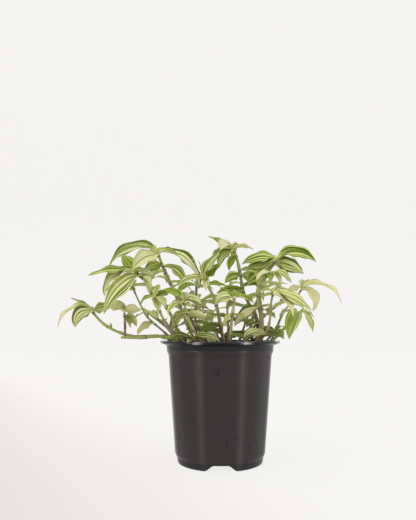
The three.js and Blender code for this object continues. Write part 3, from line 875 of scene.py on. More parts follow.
@dataclass(frozen=True)
class Blade:
    """One leaf blade, as in the part's source, with its colouring. Angles are in degrees."""

    place: float
    heading: float
    rise: float
    length: float
    droop: float
    roll: float = 0
    width: float = 0.37
    cream: float = 0.5
    marking: Marking = STREAKED
    furl: float = 1

    def midrib(self, root: Vector, share: float, turn: Row) -> tuple[Vector, Vector]:
        """Follows the midrib, which is an arc.

        Args:
            root: where the blade starts.
            share: how far along it to go, 0 to 1.
            turn: how far the blade is bent clear, as heading and rise.

        Returns:
            The point on the midrib and the way that its upper face points.
        """
        heading = math.radians(self.heading + turn[0])
        start = math.radians(self.rise + turn[1])
        bend = math.radians(self.droop)
        tilt = start - bend * share
        forward = self.length * (math.sin(start) - math.sin(tilt)) / bend
        climb = self.length * (math.cos(tilt) - math.cos(start)) / bend
        ahead = spoke(heading, 1)
        right = Vector((math.sin(heading), -math.cos(heading), 0))
        upper = Vector((0, 0, 1)) * math.cos(tilt) - ahead * math.sin(tilt)
        spin = math.radians(self.roll) * min(1, share / SETTLED_SHARE)
        face = upper * math.cos(spin) + right * math.sin(spin)
        return root + ahead * forward + Vector((0, 0, climb)), face


@dataclass(frozen=True)
class Axis:
    """A stem or side stem: half its thickness, the points that it passes through and its blades.

    The flush says how purple it is, from 0 to 1.
    """

    radius: float
    path: tuple[Point, ...]
    blades: tuple[Blade, ...]
    flush: float

    def at(self, place: float) -> Vector:
        """Finds a point on the smooth curve through the path.

        Args:
            place: from 0 at the foot to 1 at the head.

        Returns:
            The point in millimetres.
        """
        knots = [Vector(knot) for knot in self.path]
        last = len(knots) - 1
        index = max(0, min(int(place * last), last - 1))
        share = place * last - index
        here, there = knots[index], knots[index + 1]
        before = knots[index - 1] if index > 0 else here * 2 - there
        after = knots[index + 2] if index + 2 <= last else there * 2 - here
        leave, arrive = (there - before) / 2, (after - here) / 2
        cubic = here * 2 - there * 2 + leave + arrive
        square = there * 3 - here * 3 - leave * 2 - arrive
        return ((cubic * share + square) * share + leave) * share + here

    def direction(self, place: float) -> Vector:
        """Finds the way that the stem grows.

        Args:
            place: from 0 at the foot to 1 at the head.

        Returns:
            The way, of length 1.
        """
        step = 0.0001
        low, high = max(0.0, place - step), min(1.0, place + step)
        return (self.at(high) - self.at(low)).normalized()

    def length(self) -> float:
        """Measures the curve with short chords.

        Returns:
            Its length in millimetres, roughly.
        """
        steps = 24
        marks = [self.at(k / steps) for k in range(steps + 1)]
        return sum((b - a).length for a, b in zip(marks, marks[1:]))


@dataclass(frozen=True)
class Shoot:
    """One leafy stem: its main axis first, then any side stems."""

    name: str
    axes: tuple[Axis, ...]


def new_stem(radius: float, flush: float, path: tuple[Point, ...], rows: Sequence[tuple] = ()) -> Axis:
    """Reads a stem from its entry in the table.

    Args:
        radius: half its thickness in millimetres.
        flush: how purple it is, from 0 to 1.
        path: the points that it passes through.
        rows: a row for each blade, with the fields of Blade in their order.

    Returns:
        The stem.
    """
    return Axis(radius, path, tuple(Blade(*row) for row in rows), flush)


def new_shoot(
    name: str, radius: float, flush: float, path: tuple[Point, ...], rows: Sequence[tuple], *sides: Axis
) -> Shoot:
    """Reads a shoot from its entry in the table.

    Args:
        name: its name, as in its CAD node.
        radius: half the thickness of its main stem in millimetres.
        flush: how purple that is, from 0 to 1.
        path: the points that it passes through.
        rows: a row for each of its blades.
        sides: the side stems.

    Returns:
        The shoot.
    """
    return Shoot(name, (new_stem(radius, flush, path, rows), *sides))


# Each shoot has its name, radius, flush, path and blades. A blade's row has its place along the stem,
# heading, rise, length, droop, roll, width over length, share of cream and marking. Heading 0 is +X, 270 is
# towards the front, and what a row leaves out at its end is as Blade has it.
SHOOTS = (
    new_shoot(
        "long_left", 1.7, 0.02,
        (
            (-37, -2, 108), (-47, -7, 119.5), (-60, -11, 124.6), (-82, -10, 124), (-100, -8, 128.5),
            (-115, -6, 136.5), (-129, -4, 151),
        ),
        (
            (1, 172, 38, 24, 18, -20, 0.34), (1, 184, 34, 46, 112, -30, 0.3, 0.98),
            (0.96, 222, 22, 29, 118, -42, 0.6, 0.85, EDGED),
            (0.96, 346, 30, 21, 30, 58, 0.74, 0.45, STRIPED), (0.97, 95, 28, 30, 40, 0, 0.37, 0.6),
        ),
        new_stem(1.3, 0.25, ((-107.5, -7, 131.5), (-108, -7, 137))),
    ),
    new_shoot(
        "cut_left", 1.7, 0.1,
        (
            (-31, -21, 108), (-41, -23, 120), (-50, -24, 124), (-62, -23.5, 124.2), (-79, -21, 123),
            (-95.5, -19, 123.4),
        ),
        (),
        new_stem(
            1.2, 1,
            ((-92, -19, 123.4), (-92, -18, 134), (-92.5, -17, 140), (-93, -16, 147)),
            (
                (1, 352, 22, 17, 30, 50, 0.88, 0.93), (1, 182, 42, 20, 30, -50, 0.82, 0.93),
                (0.9, 318, -40, 16, 30, 0, 0.5, 0.9), (0.84, 345, 0, 18, 75, 40, 0.52),
            ),
        ),
    ),
    new_shoot(
        "left_rosette", 1.8, 0.08,
        (
            (-32, -13, 108), (-40, -20, 126), (-46, -25, 142), (-57, -28, 161), (-70, -30, 176),
            (-81, -31, 185),
        ),
        (
            (0.9, 229, -16, 58, 50, -44, 0.31, 0.7, STRIPED), (0.97, 203, 16, 43, 108, -35, 0.4, 0.9),
            (1, 186, 6, 44, 26, -34, 0.32, 0.35), (1, 165, 56, 22, 10, -60, 0.62, 0.2),
            (0.95, 110, 50, 28, 60, 0, 0.37, 0.4), (1, 350, 8, 20, 40, 40, 0.5, 0.7),
            (0.9, 300, 5, 24, 70, 0, 0.42, 0.6), (0.93, 80, 20, 34, 60),
            (0.5, 30, 25, 18, 80, 0, 0.45, 0.7), (0.62, 120, 30, 24, 70),
            (0.86, 335, -50, 24, 20, 20, 0.42, 0.8),
        ),
    ),
    new_shoot(
        "high_left", 1.7, 0.22,
        (
            (-20, -6, 108), (-27, -8, 124), (-34, -10, 140), (-43, -12, 163), (-52, -13, 183),
            (-57, -14, 195), (-61, -14, 206),
        ),
        (
            (1, 183, 29, 55, 93, -48, 0.34, 0.85, EDGED), (0.99, 7, 9, 61, 100, 40, 0.32, 0.8, EDGED),
            (0.94, 222, -14, 40, 42, -34, 0.52, 0.9), (1, 50, 40, 22, 50, 0, 0.37, 0.9),
            (0.96, 110, 25, 42, 75), (0.8, 213, 2, 27, 52, -50, 0.5, 0.3, STRIPED),
            (0.78, 352, 0, 34, 92, 44, 0.4, 0.5, STRIPED), (0.6, 20, 20, 26, 80, 20, 0.37, 0.8),
            (0.7, 130, 20, 34, 70, 0, 0.37, 0.6),
        ),
    ),
    new_shoot(
        "thin_left", 1.2, 0.5,
        (
            (-40, 6, 108), (-47, 6, 119), (-58, 5, 130), (-72, 3, 142.5), (-80, 1, 156.5), (-89, 0, 177),
        ),
        (
            (1, 205, -5, 30, 30, -30, 0.4, 0.2), (0.96, 30, 25, 24, 50, 30, 0.37, 0.6),
            (1, 100, 20, 34, 60), (0.92, 150, 30, 32, 60), (0.5, 198, 4, 23, 70, -44, 0.46, 0.95),
            (0.62, 60, 35, 20, 60),
        ),
    ),
    new_shoot(
        "red_left", 1.3, 0.7,
        (
            (-26, -28, 108), (-37, -32, 120.5), (-47, -36, 132), (-54, -38, 142), (-58, -39, 152),
            (-61, -40, 160),
        ),
        (
            (1, 290, -20, 20, 50, 0, 0.52, 0.7), (0.95, 312, 5, 24, 75, 10, 0.42, 0.8),
            (1, 190, 20, 17, 100, -30, 0.44, 0.3), (0.95, 35, 42, 20, 30, 35, 0.55, 0.05),
            (1, 90, 55, 22, 50), (0.7, 190, 10, 12, 60, -20, 0.37, 0.8),
        ),
    ),
    new_shoot(
        "middle_left", 1.4, 0.25,
        (
            (-14, -30, 108), (-20, -34, 121), (-28, -38, 135), (-32, -41, 148), (-35, -42, 158),
        ),
        (
            (1, 170, 48, 22, 40, -45, 0.52, 0.05), (1, 352, 30, 20, 90, 42, 0.46, 0.9),
            (0.93, 225, 5, 24, 70, -10, 0.42, 0.6), (0.9, 300, 10, 16, 60, 0, 0.42),
            (0.96, 90, 50, 24, 50), (0.7, 188, 5, 17, 45, -35), (0.68, 345, 20, 20, 60, 35, 0.42, 0.7),
        ),
    ),
    new_shoot(
        "behind_left", 1.4, 0.8,
        (
            (-14, 14, 108), (-19, 15, 125), (-25, 16, 142.5), (-24, 16, 158), (-24, 17, 176),
        ),
        (
            (1, 195, 10, 26, 70, -35, 0.37, 0.1), (0.95, 15, 35, 20, 70, 35, 0.37, 0.7),
            (0.9, 240, 15, 17, 80, -20, 0.37, 0.8), (1, 90, 35, 36, 65, 0, 0.37, 0.6),
            (0.6, 200, 20, 24, 60, -20, 0.37, 0.3), (0.66, 30, 20, 26, 70, 20, 0.37, 0.6),
            (0.3, 335, 18, 28, 50, 36, 0.44, 0.3),
        ),
    ),
    new_shoot(
        "centre_left", 1.8, 0.45,
        (
            (4, -16, 108), (2, -19, 124), (-1, -20, 140), (-4, -21, 154), (-9.5, -22, 168),
            (-16, -22, 179),
        ),
        (
            (1, 345, 72, 29, 30, 62, 0.54, 0.6, STRIPED), (0.94, 335, 57, 25, 22, 60, 0.58, 0.3),
            (0.88, 28, 20, 22, 40, 40, 0.42, 0.05), (1, 165, 84, 19, 4, -30, 0.24, 0.4),
            (0.97, 275, 0, 18, 80, 0, 0.46, 0.9), (0.97, 200, 25, 30, 80, -35, 0.42, 0.7),
            (0.6, 170, 30, 22, 60, -30, 0.44), (0.3, 196, 20, 28, 60, -36, 0.44, 0.15),
        ),
    ),
    new_shoot(
        "centre", 1.6, 0.3,
        (
            (8, -34, 108), (8.5, -35, 122), (10, -34, 138), (11.5, -33, 150), (12.5, -32, 160),
        ),
        (
            (1, 150, 60, 16, 40, 0, 0.4, 0.05), (0.97, 198, 56, 21, 82, -50, 0.72, 0.86),
            (1, 12, 25, 20, 75, 45, 0.44, 0.3), (0.9, 100, 20, 22, 60, 0, 0.4), (0.97, 100, 50, 26, 60),
            (0.66, 215, -30, 18, 40, -20, 0.36), (0.6, 330, 20, 17, 60, 20, 0.36, 0.4),
        ),
    ),
    new_shoot(
        "high_centre", 1.7, 0.5,
        (
            (35, 4, 108), (38, 3, 128), (36, 2, 146), (29, 0, 157), (23, -2, 169), (20, -4, 186),
            (16, -5, 203), (11, -6, 212),
        ),
        (
            (1, 178, 29, 26, 6, -46, 0.32, 0.3), (1, 225, 35, 21, 100, -25, 0.88, 0.95),
            (0.92, 198, 2, 25, 98, -46, 0.5, 0.6, EDGED), (0.97, 12, 26, 23, 50, 40, 0.4, 0.5, STRIPED),
            (0.86, 225, -35, 19, 40, -10, 0.58, 0.1), (1, 85, 25, 38, 70), (0.93, 130, 28, 36, 65),
            (0.7, 205, 0, 20, 50, -50, 0.66, 0.3), (0.74, 352, 5, 24, 30, 40, 0.42, 0.5, STRIPED),
            (0.6, 5, 35, 21, 60, 35, 0.42, 0.2), (0.56, 186, 20, 28, 45, -50, 0.44, 0.05),
            (0.7, 70, 20, 36, 60), (0.2, 238, 24, 26, 60, -30, 0.46, 0.3),
        ),
    ),
    new_shoot(
        "high_right", 1.7, 0.15,
        (
            (25, 20, 108), (31, 18, 130), (38, 16, 156), (44, 13, 177), (51, 9, 192), (58.5, 5, 202),
        ),
        (
            (1, 353, 36, 42, 84, 56, 0.46, 0.4, STRIPED), (0.92, 342, -10, 32, 24, 62, 0.6, 0.55, EDGED),
            (0.98, 22, 26, 43, 84, 24, 0.24, 0.35), (0.9, 335, -18, 28, 24, 20, 0.36, 0.6),
            (0.98, 187, 16, 38, 48, -52, 0.44, 0.35, STRIPED), (0.94, 198, -4, 35, 24, -46, 0.42),
            (1, 125, 18, 38, 60), (0.92, 88, 22, 38, 60), (0.86, 232, -25, 20, 30, -10, 0.4),
            (0.6, 40, 20, 32, 60), (0.7, 150, 20, 34, 65), (0.74, 198, -4, 34, 44, -46, 0.46, 0.35),
        ),
    ),
    new_shoot(
        "thick_right", 2.4, 0.35,
        (
            (31, -19, 108), (37, -22, 123), (39, -25, 138), (36.5, -25, 158), (36.5, -25, 173),
            (41, -26, 180.5), (50, -27, 184),
        ),
        (
            (1, 344, 14, 18, 90, 44, 0.56, 0.5, STRIPED), (0.97, 302, 0, 18, 85, 0, 0.5, 0.9),
            (0.95, 264, -15, 14, 50, 0, 0.5, 0.1), (0.95, 30, 15, 24, 60, 20, 0.42, 0.8),
            (0.44, 190, -8, 32, 54, -50, 0.44, 0.97, EDGED), (0.88, 150, 25, 16, 60, 0, 0.37, 0.6),
            (0.66, 80, 25, 30, 60), (0.55, 290, 5, 13, 70), (0.2, 335, 20, 26, 60, 36, 0.46, 0.3),
            (0.97, 200, 25, 20, 100, -30, 0.42, 0.95),
        ),
    ),
    new_shoot(
        "purple_right", 1.3, 0.7,
        (
            (28, -29, 108), (36.5, -32.5, 120), (43, -37, 131), (45.5, -39, 144), (46, -41, 156),
            (48, -42, 165),
        ),
        (
            (1, 350, -12, 39, 30, 50, 0.36, 0.55), (0.95, 314, -4, 30, 62, 0, 0.62, 0.97),
            (1, 172, 35, 15, 70, -30, 0.37, 0.6), (0.93, 45, 45, 28, 60, 20, 0.37, 0.8),
        ),
    ),
    new_shoot(
        "low_right", 1.4, 0.1,
        (
            (39, -12, 108), (47, -13, 117), (56, -14, 125), (62, -14, 132), (68, -15, 141),
            (73, -16, 146), (79, -17, 148.5),
        ),
        (
            (1, 326, -40, 24, 45, 30, 0.36, 0.5, STRIPED), (0.95, 30, 22, 20, 80, 20),
            (0.92, 236, -20, 36, 58, -14, 0.46, 0.45), (0.7, 262, -20, 20, 50, 0, 0.4, 0.1),
            (0.85, 110, 25, 30, 60, 0, 0.37, 0.6),
        ),
    ),
    new_shoot(
        "far_right", 1.2, 0.12,
        (
            (36, 8, 108), (46, 9, 118), (56, 10, 130), (66, 10, 150), (75, 9, 160), (84, 8, 173),
        ),
        (
            (1, 355, 30, 49, 106, 20, 0.33, 0.98), (0.96, 322, 10, 32, 138, 20, 0.46, 0.97),
            (1, 192, 2, 20, 44, -45, 0.5, 0.95), (1, 70, 50, 30, 65, 0, 0.37, 0.9),
            (0.8, 110, 24, 32, 65, 0, 0.37, 0.1), (0.7, 335, 20, 18, 70, 25, 0.37, 0.7),
        ),
    ),
    new_shoot(
        "rim_right", 1.2, 0.25,
        ((43, 0, 107), (48, -1, 116), (53, -2, 124), (56, -3, 130)),
        (
            (1, 292, 0, 15, 80, 10, 0.5, 0.9), (0.9, 196, 24, 26, 70, -38, 0.46, 0.4),
            (0.97, 60, 35, 22, 50, 0, 0.37, 0.3),
        ),
    ),
    new_shoot(
        "rim_front_left", 1.1, 0.25,
        ((-20, -38, 107.5), (-23, -41, 114), (-26, -43, 121)),
        (
            (1, 350, 34, 29, 80, 35, 0.4, 0.55, STRIPED), (1, 186, 26, 28, 50, -35, 0.4, 0.15, STRIPED),
            (0.85, 255, 30, 20, 60, 0, 0.37, 0.4, STRIPED),
        ),
    ),
    new_shoot(
        "rim_front_right", 1.1, 0.25,
        ((19, -42, 107.5), (21, -44, 114), (22, -45, 121)),
        (
            (1, 18, 48, 24, 70, 42, 0.62, 0.66), (0.95, 165, 48, 18, 65, -30, 0.42, 0.2, STRIPED),
        ),
    ),
    new_shoot(
        "rim_behind_left", 1.1, 0.25,
        ((-29, 26, 107), (-31, 27, 112), (-32, 28, 116)),
        (
            (1, 188, 22, 30, 60, -34, 0.42, 0.15, STRIPED), (1, 12, 24, 30, 60, 34, 0.42, 0.4, STRIPED),
            (0.9, 285, 20, 24, 50, 0, 0.46, 0.25, STRIPED),
        ),
    ),
    new_shoot(
        "rim_behind", 1.1, 0.25,
        ((2, 28, 107), (3, 29, 112), (4, 30, 116)),
        (
            (1, 186, 24, 30, 60, -34, 0.42, 0.35, STRIPED), (1, 352, 24, 30, 60, 34, 0.42, 0.2, STRIPED),
            (0.9, 262, 20, 24, 50, 0, 0.46, 0.4, STRIPED),
        ),
    ),
    new_shoot(
        "rim_behind_right", 1.1, 0.25,
        ((34, 27, 107), (36, 28, 112), (37, 28, 116)),
        (
            (1, 178, 24, 30, 60, -34, 0.42, 0.2, STRIPED), (1, 350, 22, 28, 60, 34, 0.42, 0.35, STRIPED),
            (0.9, 256, 20, 24, 50, 0, 0.46, 0.15, STRIPED),
        ),
    ),
)

# The shoots that the front hides: heading, reach, height, the foot's heading and reach, number of blades
BUSH = (
    (78, 62, 180, 70, 22, 6),
    (112, 72, 166, 105, 36, 6),
    (48, 74, 172, 60, 35, 6),
    (142, 74, 188, 140, 25, 6),
    (95, 98, 148, 88, 41, 6),
    (150, 90, 150, 160, 41, 5),
    (20, 66, 158, 15, 20, 5),
    (240, 30, 138, 225, 14, 4),
)
BUSH_RADIUS = 1.4
BUSH_FLUSH = 0.7
BUSH_SEED = 71
BUSH_COLOUR_SEED = 23
SOIL_HEIGHT = 108

# The turns that the part's source tries for a blade that would touch something, as heading and rise
TURNS = (
    (0, 0), (7, 0), (-7, 0), (0, 8), (0, -8), (14, 0), (-14, 0), (10, 10), (-10, 10), (10, -10),
    (-10, -10), (22, 0), (-22, 0), (0, 18), (0, -18), (22, 14), (-22, 14), (22, -14), (-22, -14),
    (34, 0), (-34, 0), (0, 30), (0, -30), (34, 20), (-34, 20), (50, 0), (-50, 0), (50, 25), (-50, 25),
)

# How a solid blade is known again: half its thickness, how near a corner has to be, how many have to match,
# and the shares of its length at which it has corners
SOLID_HALF = 0.35
SOLID_NEAR = 0.2
SOLID_MATCHES = 3
LONG_BLADE = 31
LONG_BLADE_SHARES = (4 / 25, 11 / 25, 19 / 25, 1)
SHORT_BLADE_SHARES = (7 / 25, 16 / 25, 1)


def bush_shoots() -> list[Shoot]:
    """Grows the hidden shoots by the same rule and the same draws as the part's source.

    Returns:
        The shoots in the order of their nodes.
    """
    dice = Dice(BUSH_SEED)
    colours = Dice(BUSH_COLOUR_SEED)
    shoots = []
    for index, (heading, reach, height, foot_heading, foot_reach, count) in enumerate(BUSH):
        foot = spoke(math.radians(foot_heading), foot_reach)
        head = spoke(math.radians(heading), reach)
        path = []
        for share in (0, 0.3, 0.65, 1):
            flat = foot.lerp(head, share**1.5)
            wobble = dice.between(-2, 2) if 0 < share < 1 else 0.0
            path.append((flat.x + wobble, flat.y - wobble, mixed(SOIL_HEIGHT, height, share)))
        rows = []
        for k in range(count):
            share = k / (count - 1)
            hand = 1 if k % 2 == 0 else -1
            row = (
                mixed(0.5, 1, share**0.7),
                heading + hand * dice.between(35, 120) * (1 - 0.4 * share),
                dice.between(8, 34) + 18 * share,
                dice.between(29, 45) * (1 - 0.25 * share),
                dice.between(50, 95),
                dice.between(-15, 15),
                dice.between(0.33, 0.42),
                colours.between(0.25, 0.9),
                STRIPED if k % 3 == 1 else STREAKED,
            )
            rows.append(row)
        shoots.append(new_shoot(f"bush_{index + 1}", BUSH_RADIUS, BUSH_FLUSH, tuple(path), rows))
    return shoots


@dataclass
class Foliage:
    """All the leafy stems: how blades and stems are shaped, and the pieces that they make."""

    SHAPE_FACTS = ("blade_length", "heading", "rise", "droop", "roll", "width", "furl")
    BLADE_FACTS = (*SHAPE_FACTS, "cream", "edge", "bands", "phase")
    STEM_FACTS = ("stem_radius", "run", "flush", "ring")
    SPENT_FACTS = (*SHAPE_FACTS, "stem_radius", "root")

    leaf: Material
    stem: Material
    outline_rise: float = 0.6
    outline_fall: float = 1.08
    fold_at_root: float = 55
    fold_at_tip: float = 20
    thickness: float = 0.5
    cupping: float = 1.3
    tip_thinning: float = 0.55
    midrib_width: float = 0.16
    midrib_swell: float = 0.9
    ripple: float = 0.026
    ripple_waves: float = 15
    ripple_slant: float = 1.4
    ripple_shift: float = 40
    buried: float = 14
    stem_taper: float = 0.72
    node_swell: float = 0.34
    node_length: float = 1.1
    sheath_length: float = 5.5
    sheath_swell: float = 0.2
    sheath_flare: float = 0.08
    ring_drop: float = 0.4
    ring_width: float = 0.7
    bare_node_gap: float = 19
    bare_node_lift: float = 0.55
    leafless_end: float = 0.03
    streak_length: float = 30
    flush_end: float = 0.62
    flush_at_head: float = 0.55
    flush_at_foot: float = 2.6
    flush_of_ring: float = 0.4
    bud_length: float = 9
    bud_width: float = 0.24
    bud_turn: float = 12
    bud_lift: float = 8
    bud_steepest: float = 80
    bud_droop: float = 16
    bud_cream: float = 0.45
    bud_furl: float = 1.35
    easing: float = 0.6
    end_gap: float = 0.004
    blade_steps: int = 20
    blade_sides: int = 14
    stem_sides: int = 10
    stem_step: float = 1.3
    seed: int = 5

    def tree(self) -> NodeTree:
        """Builds the geometry tree that turns a drawing of a shoot into stems and blades.

        The drawing has the stems as edges and each blade as one loose point that carries its own numbers.

        Returns:
            The geometry tree.
        """
        outline = ("Outline rise", "Outline fall", "Thickness", "Ripple")
        inputs = {
            "Geometry": ("Drawing",),
            "Float": (*outline, "Root fold", "Tip fold", "Settled share"),
            "Int": ("Blade steps", "Blade sides", "Stem sides"),
            "Material": ("Leaf", "Stem"),
        }
        graph, given = new_tree("leafy_stem", "GeometryNodeTree", inputs, {"Geometry": ("Geometry",)})
        values = {"Geometry": given["Drawing"], "Selection": graph.named("blade_length") > 0.0}
        parted = graph.add("GeometryNodeSeparateGeometry", values, domain="POINT")
        blades = self.blade_nodes(graph, given, parted.outputs["Selection"])
        stems = self.stem_nodes(graph, given, parted.outputs["Inverted"])
        smooth = graph.out("GeometryNodeSetShadeSmooth", {"Geometry": graph.joined(stems, blades)})
        covered = graph.covered(graph.real(smooth), given["Stem"])
        covered = graph.covered(covered, given["Leaf"], graph.named("share") > 0.0)
        return close_tree(graph, {"Geometry": covered})

    def stem_nodes(self, graph: Graph, given: Wires, drawing: object) -> Wire:
        """Turns the drawing's edges into round stems of changing thickness.

        Args:
            graph: the graph of the tree.
            given: its inputs.
            drawing: the part of the drawing that holds the stems.

        Returns:
            The stems' mesh.
        """
        curve = graph.out("GeometryNodeMeshToCurve", {"Mesh": drawing})
        sides = {"Resolution": given["Stem sides"], "Radius": 1.0}
        ring = graph.out("GeometryNodeCurvePrimitiveCircle", sides)
        ring = graph.kept(ring, "around", graph.parts(graph.position())[0])
        radius = graph.named("stem_radius")
        values = {"Curve": curve, "Profile Curve": ring, "Scale": radius, "Fill Caps": True}
        return graph.out("GeometryNodeCurveToMesh", values)

    def blade_nodes(self, graph: Graph, given: Wires, points: object) -> Wire:
        """Grows a blade at each point: a thin closed sleeve, bent along its arc, folded and rolled.

        Args:
            graph: the graph of the tree.
            given: its inputs.
            points: the part of the drawing that holds the blades' points.

        Returns:
            The blades' mesh, on which every point has a share above 0.
        """
        sizes = {"Vertices": given["Blade sides"], "Side Segments": given["Blade steps"]}
        sleeve = graph.out("GeometryNodeMeshCylinder", {**sizes, "Radius": 1.0, "Depth": 1.0})
        x, y, z = graph.parts(graph.position())
        even = z + 0.5
        eased = 0.5 - (even * math.pi).cos() * 0.5
        share = graph.mix(self.easing, even, eased) * (1 - 2 * self.end_gap) + self.end_gap
        for name, value in (("share", share), ("across", -x), ("layer", y)):
            sleeve = graph.kept(sleeve, name, value)
        points = graph.kept(points, "root", graph.position(), "FLOAT_VECTOR")
        copies = graph.out("GeometryNodeInstanceOnPoints", {"Points": points, "Instance": sleeve})
        values = {"Geometry": graph.real(copies), "Position": self.blade_place(graph, given)}
        return graph.out("GeometryNodeSetPosition", values)

    def blade_place(self, graph: Graph, given: Wires) -> Wire:
        """Reckons where each point of a blade's sleeve goes.

        Args:
            graph: the graph of the tree.
            given: its inputs.

        Returns:
            The place as a vector.
        """
        share, across, layer = (graph.named(name) for name in ("share", "across", "layer"))
        heading, rise, droop = (graph.named(name) for name in ("heading", "rise", "droop"))
        length, phase = graph.named("blade_length"), graph.named("phase")
        tilt = rise - droop * share
        forward = length * (rise.sin() - tilt.sin()) / droop
        climb = length * (tilt.cos() - rise.cos()) / droop
        ahead = graph.vector(heading.cos(), heading.sin(), 0.0)
        right = graph.vector(heading.sin(), -heading.cos(), 0.0)
        upright = graph.vector(0.0, 0.0, 1.0)
        upper = upright * tilt.cos() - ahead * tilt.sin()
        settle = (share / given["Settled share"]).at_most(1.0)
        spin = graph.named("roll") * settle
        side = right * spin.cos() - upper * spin.sin()
        face = upper * spin.cos() + right * spin.sin()
        rise_power, fall_power = given["Outline rise"], given["Outline fall"]
        widest = rise_power / (rise_power + fall_power)
        peak = widest**rise_power * (1.0 - widest) ** fall_power
        outline = share**rise_power * (1.0 - share) ** fall_power / peak
        reach = length * graph.named("width") * outline * 0.5
        fold = graph.mix(settle, given["Root fold"], given["Tip fold"]) * graph.named("furl")
        edge = across.size()
        lift = reach * edge**self.cupping * fold.sin()
        swing = (share * self.ripple_waves + phase * self.ripple_shift + across * self.ripple_slant).sin()
        wave = length * given["Ripple"] * swing * across * across * share * (1.0 - share) * 4.0
        taper = 1.0 - share * self.tip_thinning
        midrib = across.bell(self.midrib_width) * self.midrib_swell + 1.0
        thick = given["Thickness"] * 0.5 * layer * taper * midrib
        place = graph.named("root", "FLOAT_VECTOR") + ahead * forward + upright * climb
        return place + side * (reach * across * fold.cos()) + face * (lift + wave + thick)

    def stem_radius(
        self, axis: Axis, place: float, length: float, nodes: Sequence[float]
    ) -> tuple[float, float]:
        """Gives a stem's thickness at a place: tapered, swollen at its nodes and sheathed above them.

        Args:
            axis: the stem.
            place: from 0 to 1.
            length: the stem's length.
            nodes: the places of its nodes.

        Returns:
            The radius in millimetres, and how near a node's ring is, 1 on it.
        """
        radius = axis.radius * mixed(1, self.stem_taper, max(0.0, place))
        swell, ring = 0.0, 0.0
        for node in nodes:
            past = (place - node) * length
            near = math.exp(-((past / self.node_length) ** 2))
            swell = max(swell, self.node_swell * near)
            if 0 < past < self.sheath_length:
                swell = max(swell, self.sheath_swell + self.sheath_flare * past / self.sheath_length)
            ring = max(ring, math.exp(-(((past + self.ring_drop) / self.ring_width) ** 2)))
        return radius * (1 + swell), ring

    def draw(self, shoot: Shoot, node: Object, dice: Dice) -> Object:
        """Draws a shoot for the geometry tree.

        Args:
            shoot: the shoot.
            node: its CAD node, which shows how each blade was bent clear.
            dice: the random numbers for what differs from leaf to leaf.

        Returns:
            An object with the stems as edges and the blades as loose points.
        """
        places: list[Vector] = []
        edges: list[tuple[int, int]] = []
        facts: dict[str, list[float]] = {name: [] for name in (*self.STEM_FACTS, *self.BLADE_FACTS)}

        def note(place: Vector, known: dict[str, float]) -> None:
            """Adds a point.

            Args:
                place: where it is, in millimetres.
                known: what is known of it; the rest is 0.
            """
            places.append(place * MM)
            for name, values in facts.items():
                values.append(known.get(name, 0.0))

        corners = corner_search(node)
        for number, axis in enumerate(shoot.axes):
            length = axis.length()
            low, high = self.leafless_end, 1 - self.leafless_end
            borne = sorted({blade.place for blade in axis.blades if low < blade.place < high})
            bare = self.bare_nodes(length, borne[0] if borne else 1.0)
            nodes = [*bare, *borne]
            phase = dice.roll()
            start = -self.buried / length if number == 0 else 0.0
            count = max(6, round(length * (1 - start) / self.stem_step))
            for k in range(count + 1):
                place = mixed(start, 1, k / count)
                under = min(0.0, place) * length
                centre = axis.at(max(0.0, place)) + axis.direction(max(0.0, place)) * under
                radius, ring = self.stem_radius(axis, place, length, nodes)
                lower = 1 - min(1.0, max(0.0, place) / self.flush_end)
                stronger = mixed(self.flush_at_head, self.flush_at_foot, lower)
                flush = min(1.0, axis.flush * stronger + ring * self.flush_of_ring)
                if k > 0:
                    edges.append((len(places) - 1, len(places)))
                run = place * length / self.streak_length
                known = {"stem_radius": radius * MM, "run": run, "flush": flush}
                note(centre, {**known, "ring": ring, "phase": phase})
            for blade in (*axis.blades, *self.buds(axis)):
                root = axis.at(blade.place)
                turn = chosen_turn(blade, root, corners)
                if turn is None:
                    log.info("%s: a blade is left out, as in the solid", shoot.name)
                    continue
                note(root, self.blade_facts(blade, turn, dice.roll()))
        mesh = bpy.data.meshes.new(shoot.name)
        mesh.from_pydata(places, edges, [])
        for name, values in facts.items():
            mesh.attributes.new(name, "FLOAT", "POINT").data.foreach_set("value", values)
        return placed(shoot.name + "_drawing", mesh)

    def bare_nodes(self, length: float, first: float) -> list[float]:
        """Places the leafless nodes of a stem's foot.

        Args:
            length: the stem's length.
            first: the place of its lowest leaf.

        Returns:
            Their places, from 0 to 1.
        """
        count = int(first * length / self.bare_node_gap)
        lift = self.bare_node_lift
        return [first * (k + lift) / (count + lift) for k in range(count)]

    def buds(self, axis: Axis) -> list[Blade]:
        """Adds the rolled young leaf at a stem's head.

        Args:
            axis: the stem.

        Returns:
            The bud, or nothing where the stem is a cut stub.
        """
        if not axis.blades:
            return []
        growing = axis.direction(1.0)
        heading = math.degrees(math.atan2(growing.y, growing.x)) + self.bud_turn
        rise = min(self.bud_steepest, math.degrees(math.asin(growing.z)) + self.bud_lift)
        size = {"length": self.bud_length, "droop": self.bud_droop, "width": self.bud_width}
        return [Blade(1, heading, rise, **size, cream=self.bud_cream, furl=self.bud_furl)]

    @staticmethod
    def blade_facts(blade: Blade, turn: Row, phase: float) -> dict[str, float]:
        """Gives the numbers that a blade's point carries.

        Args:
            blade: the blade.
            turn: how far it is bent clear.
            phase: a random number of its own.

        Returns:
            The numbers by name, in metres and radians.
        """
        bands, edge = blade.marking.value
        angles = {
            "heading": blade.heading + turn[0],
            "rise": blade.rise + turn[1],
            "droop": blade.droop,
            "roll": blade.roll,
        }
        facts = {name: math.radians(angle) for name, angle in angles.items()}
        facts |= {"blade_length": blade.length * MM, "width": blade.width, "furl": blade.furl}
        return facts | {"cream": blade.cream, "edge": edge, "bands": bands, "phase": phase}

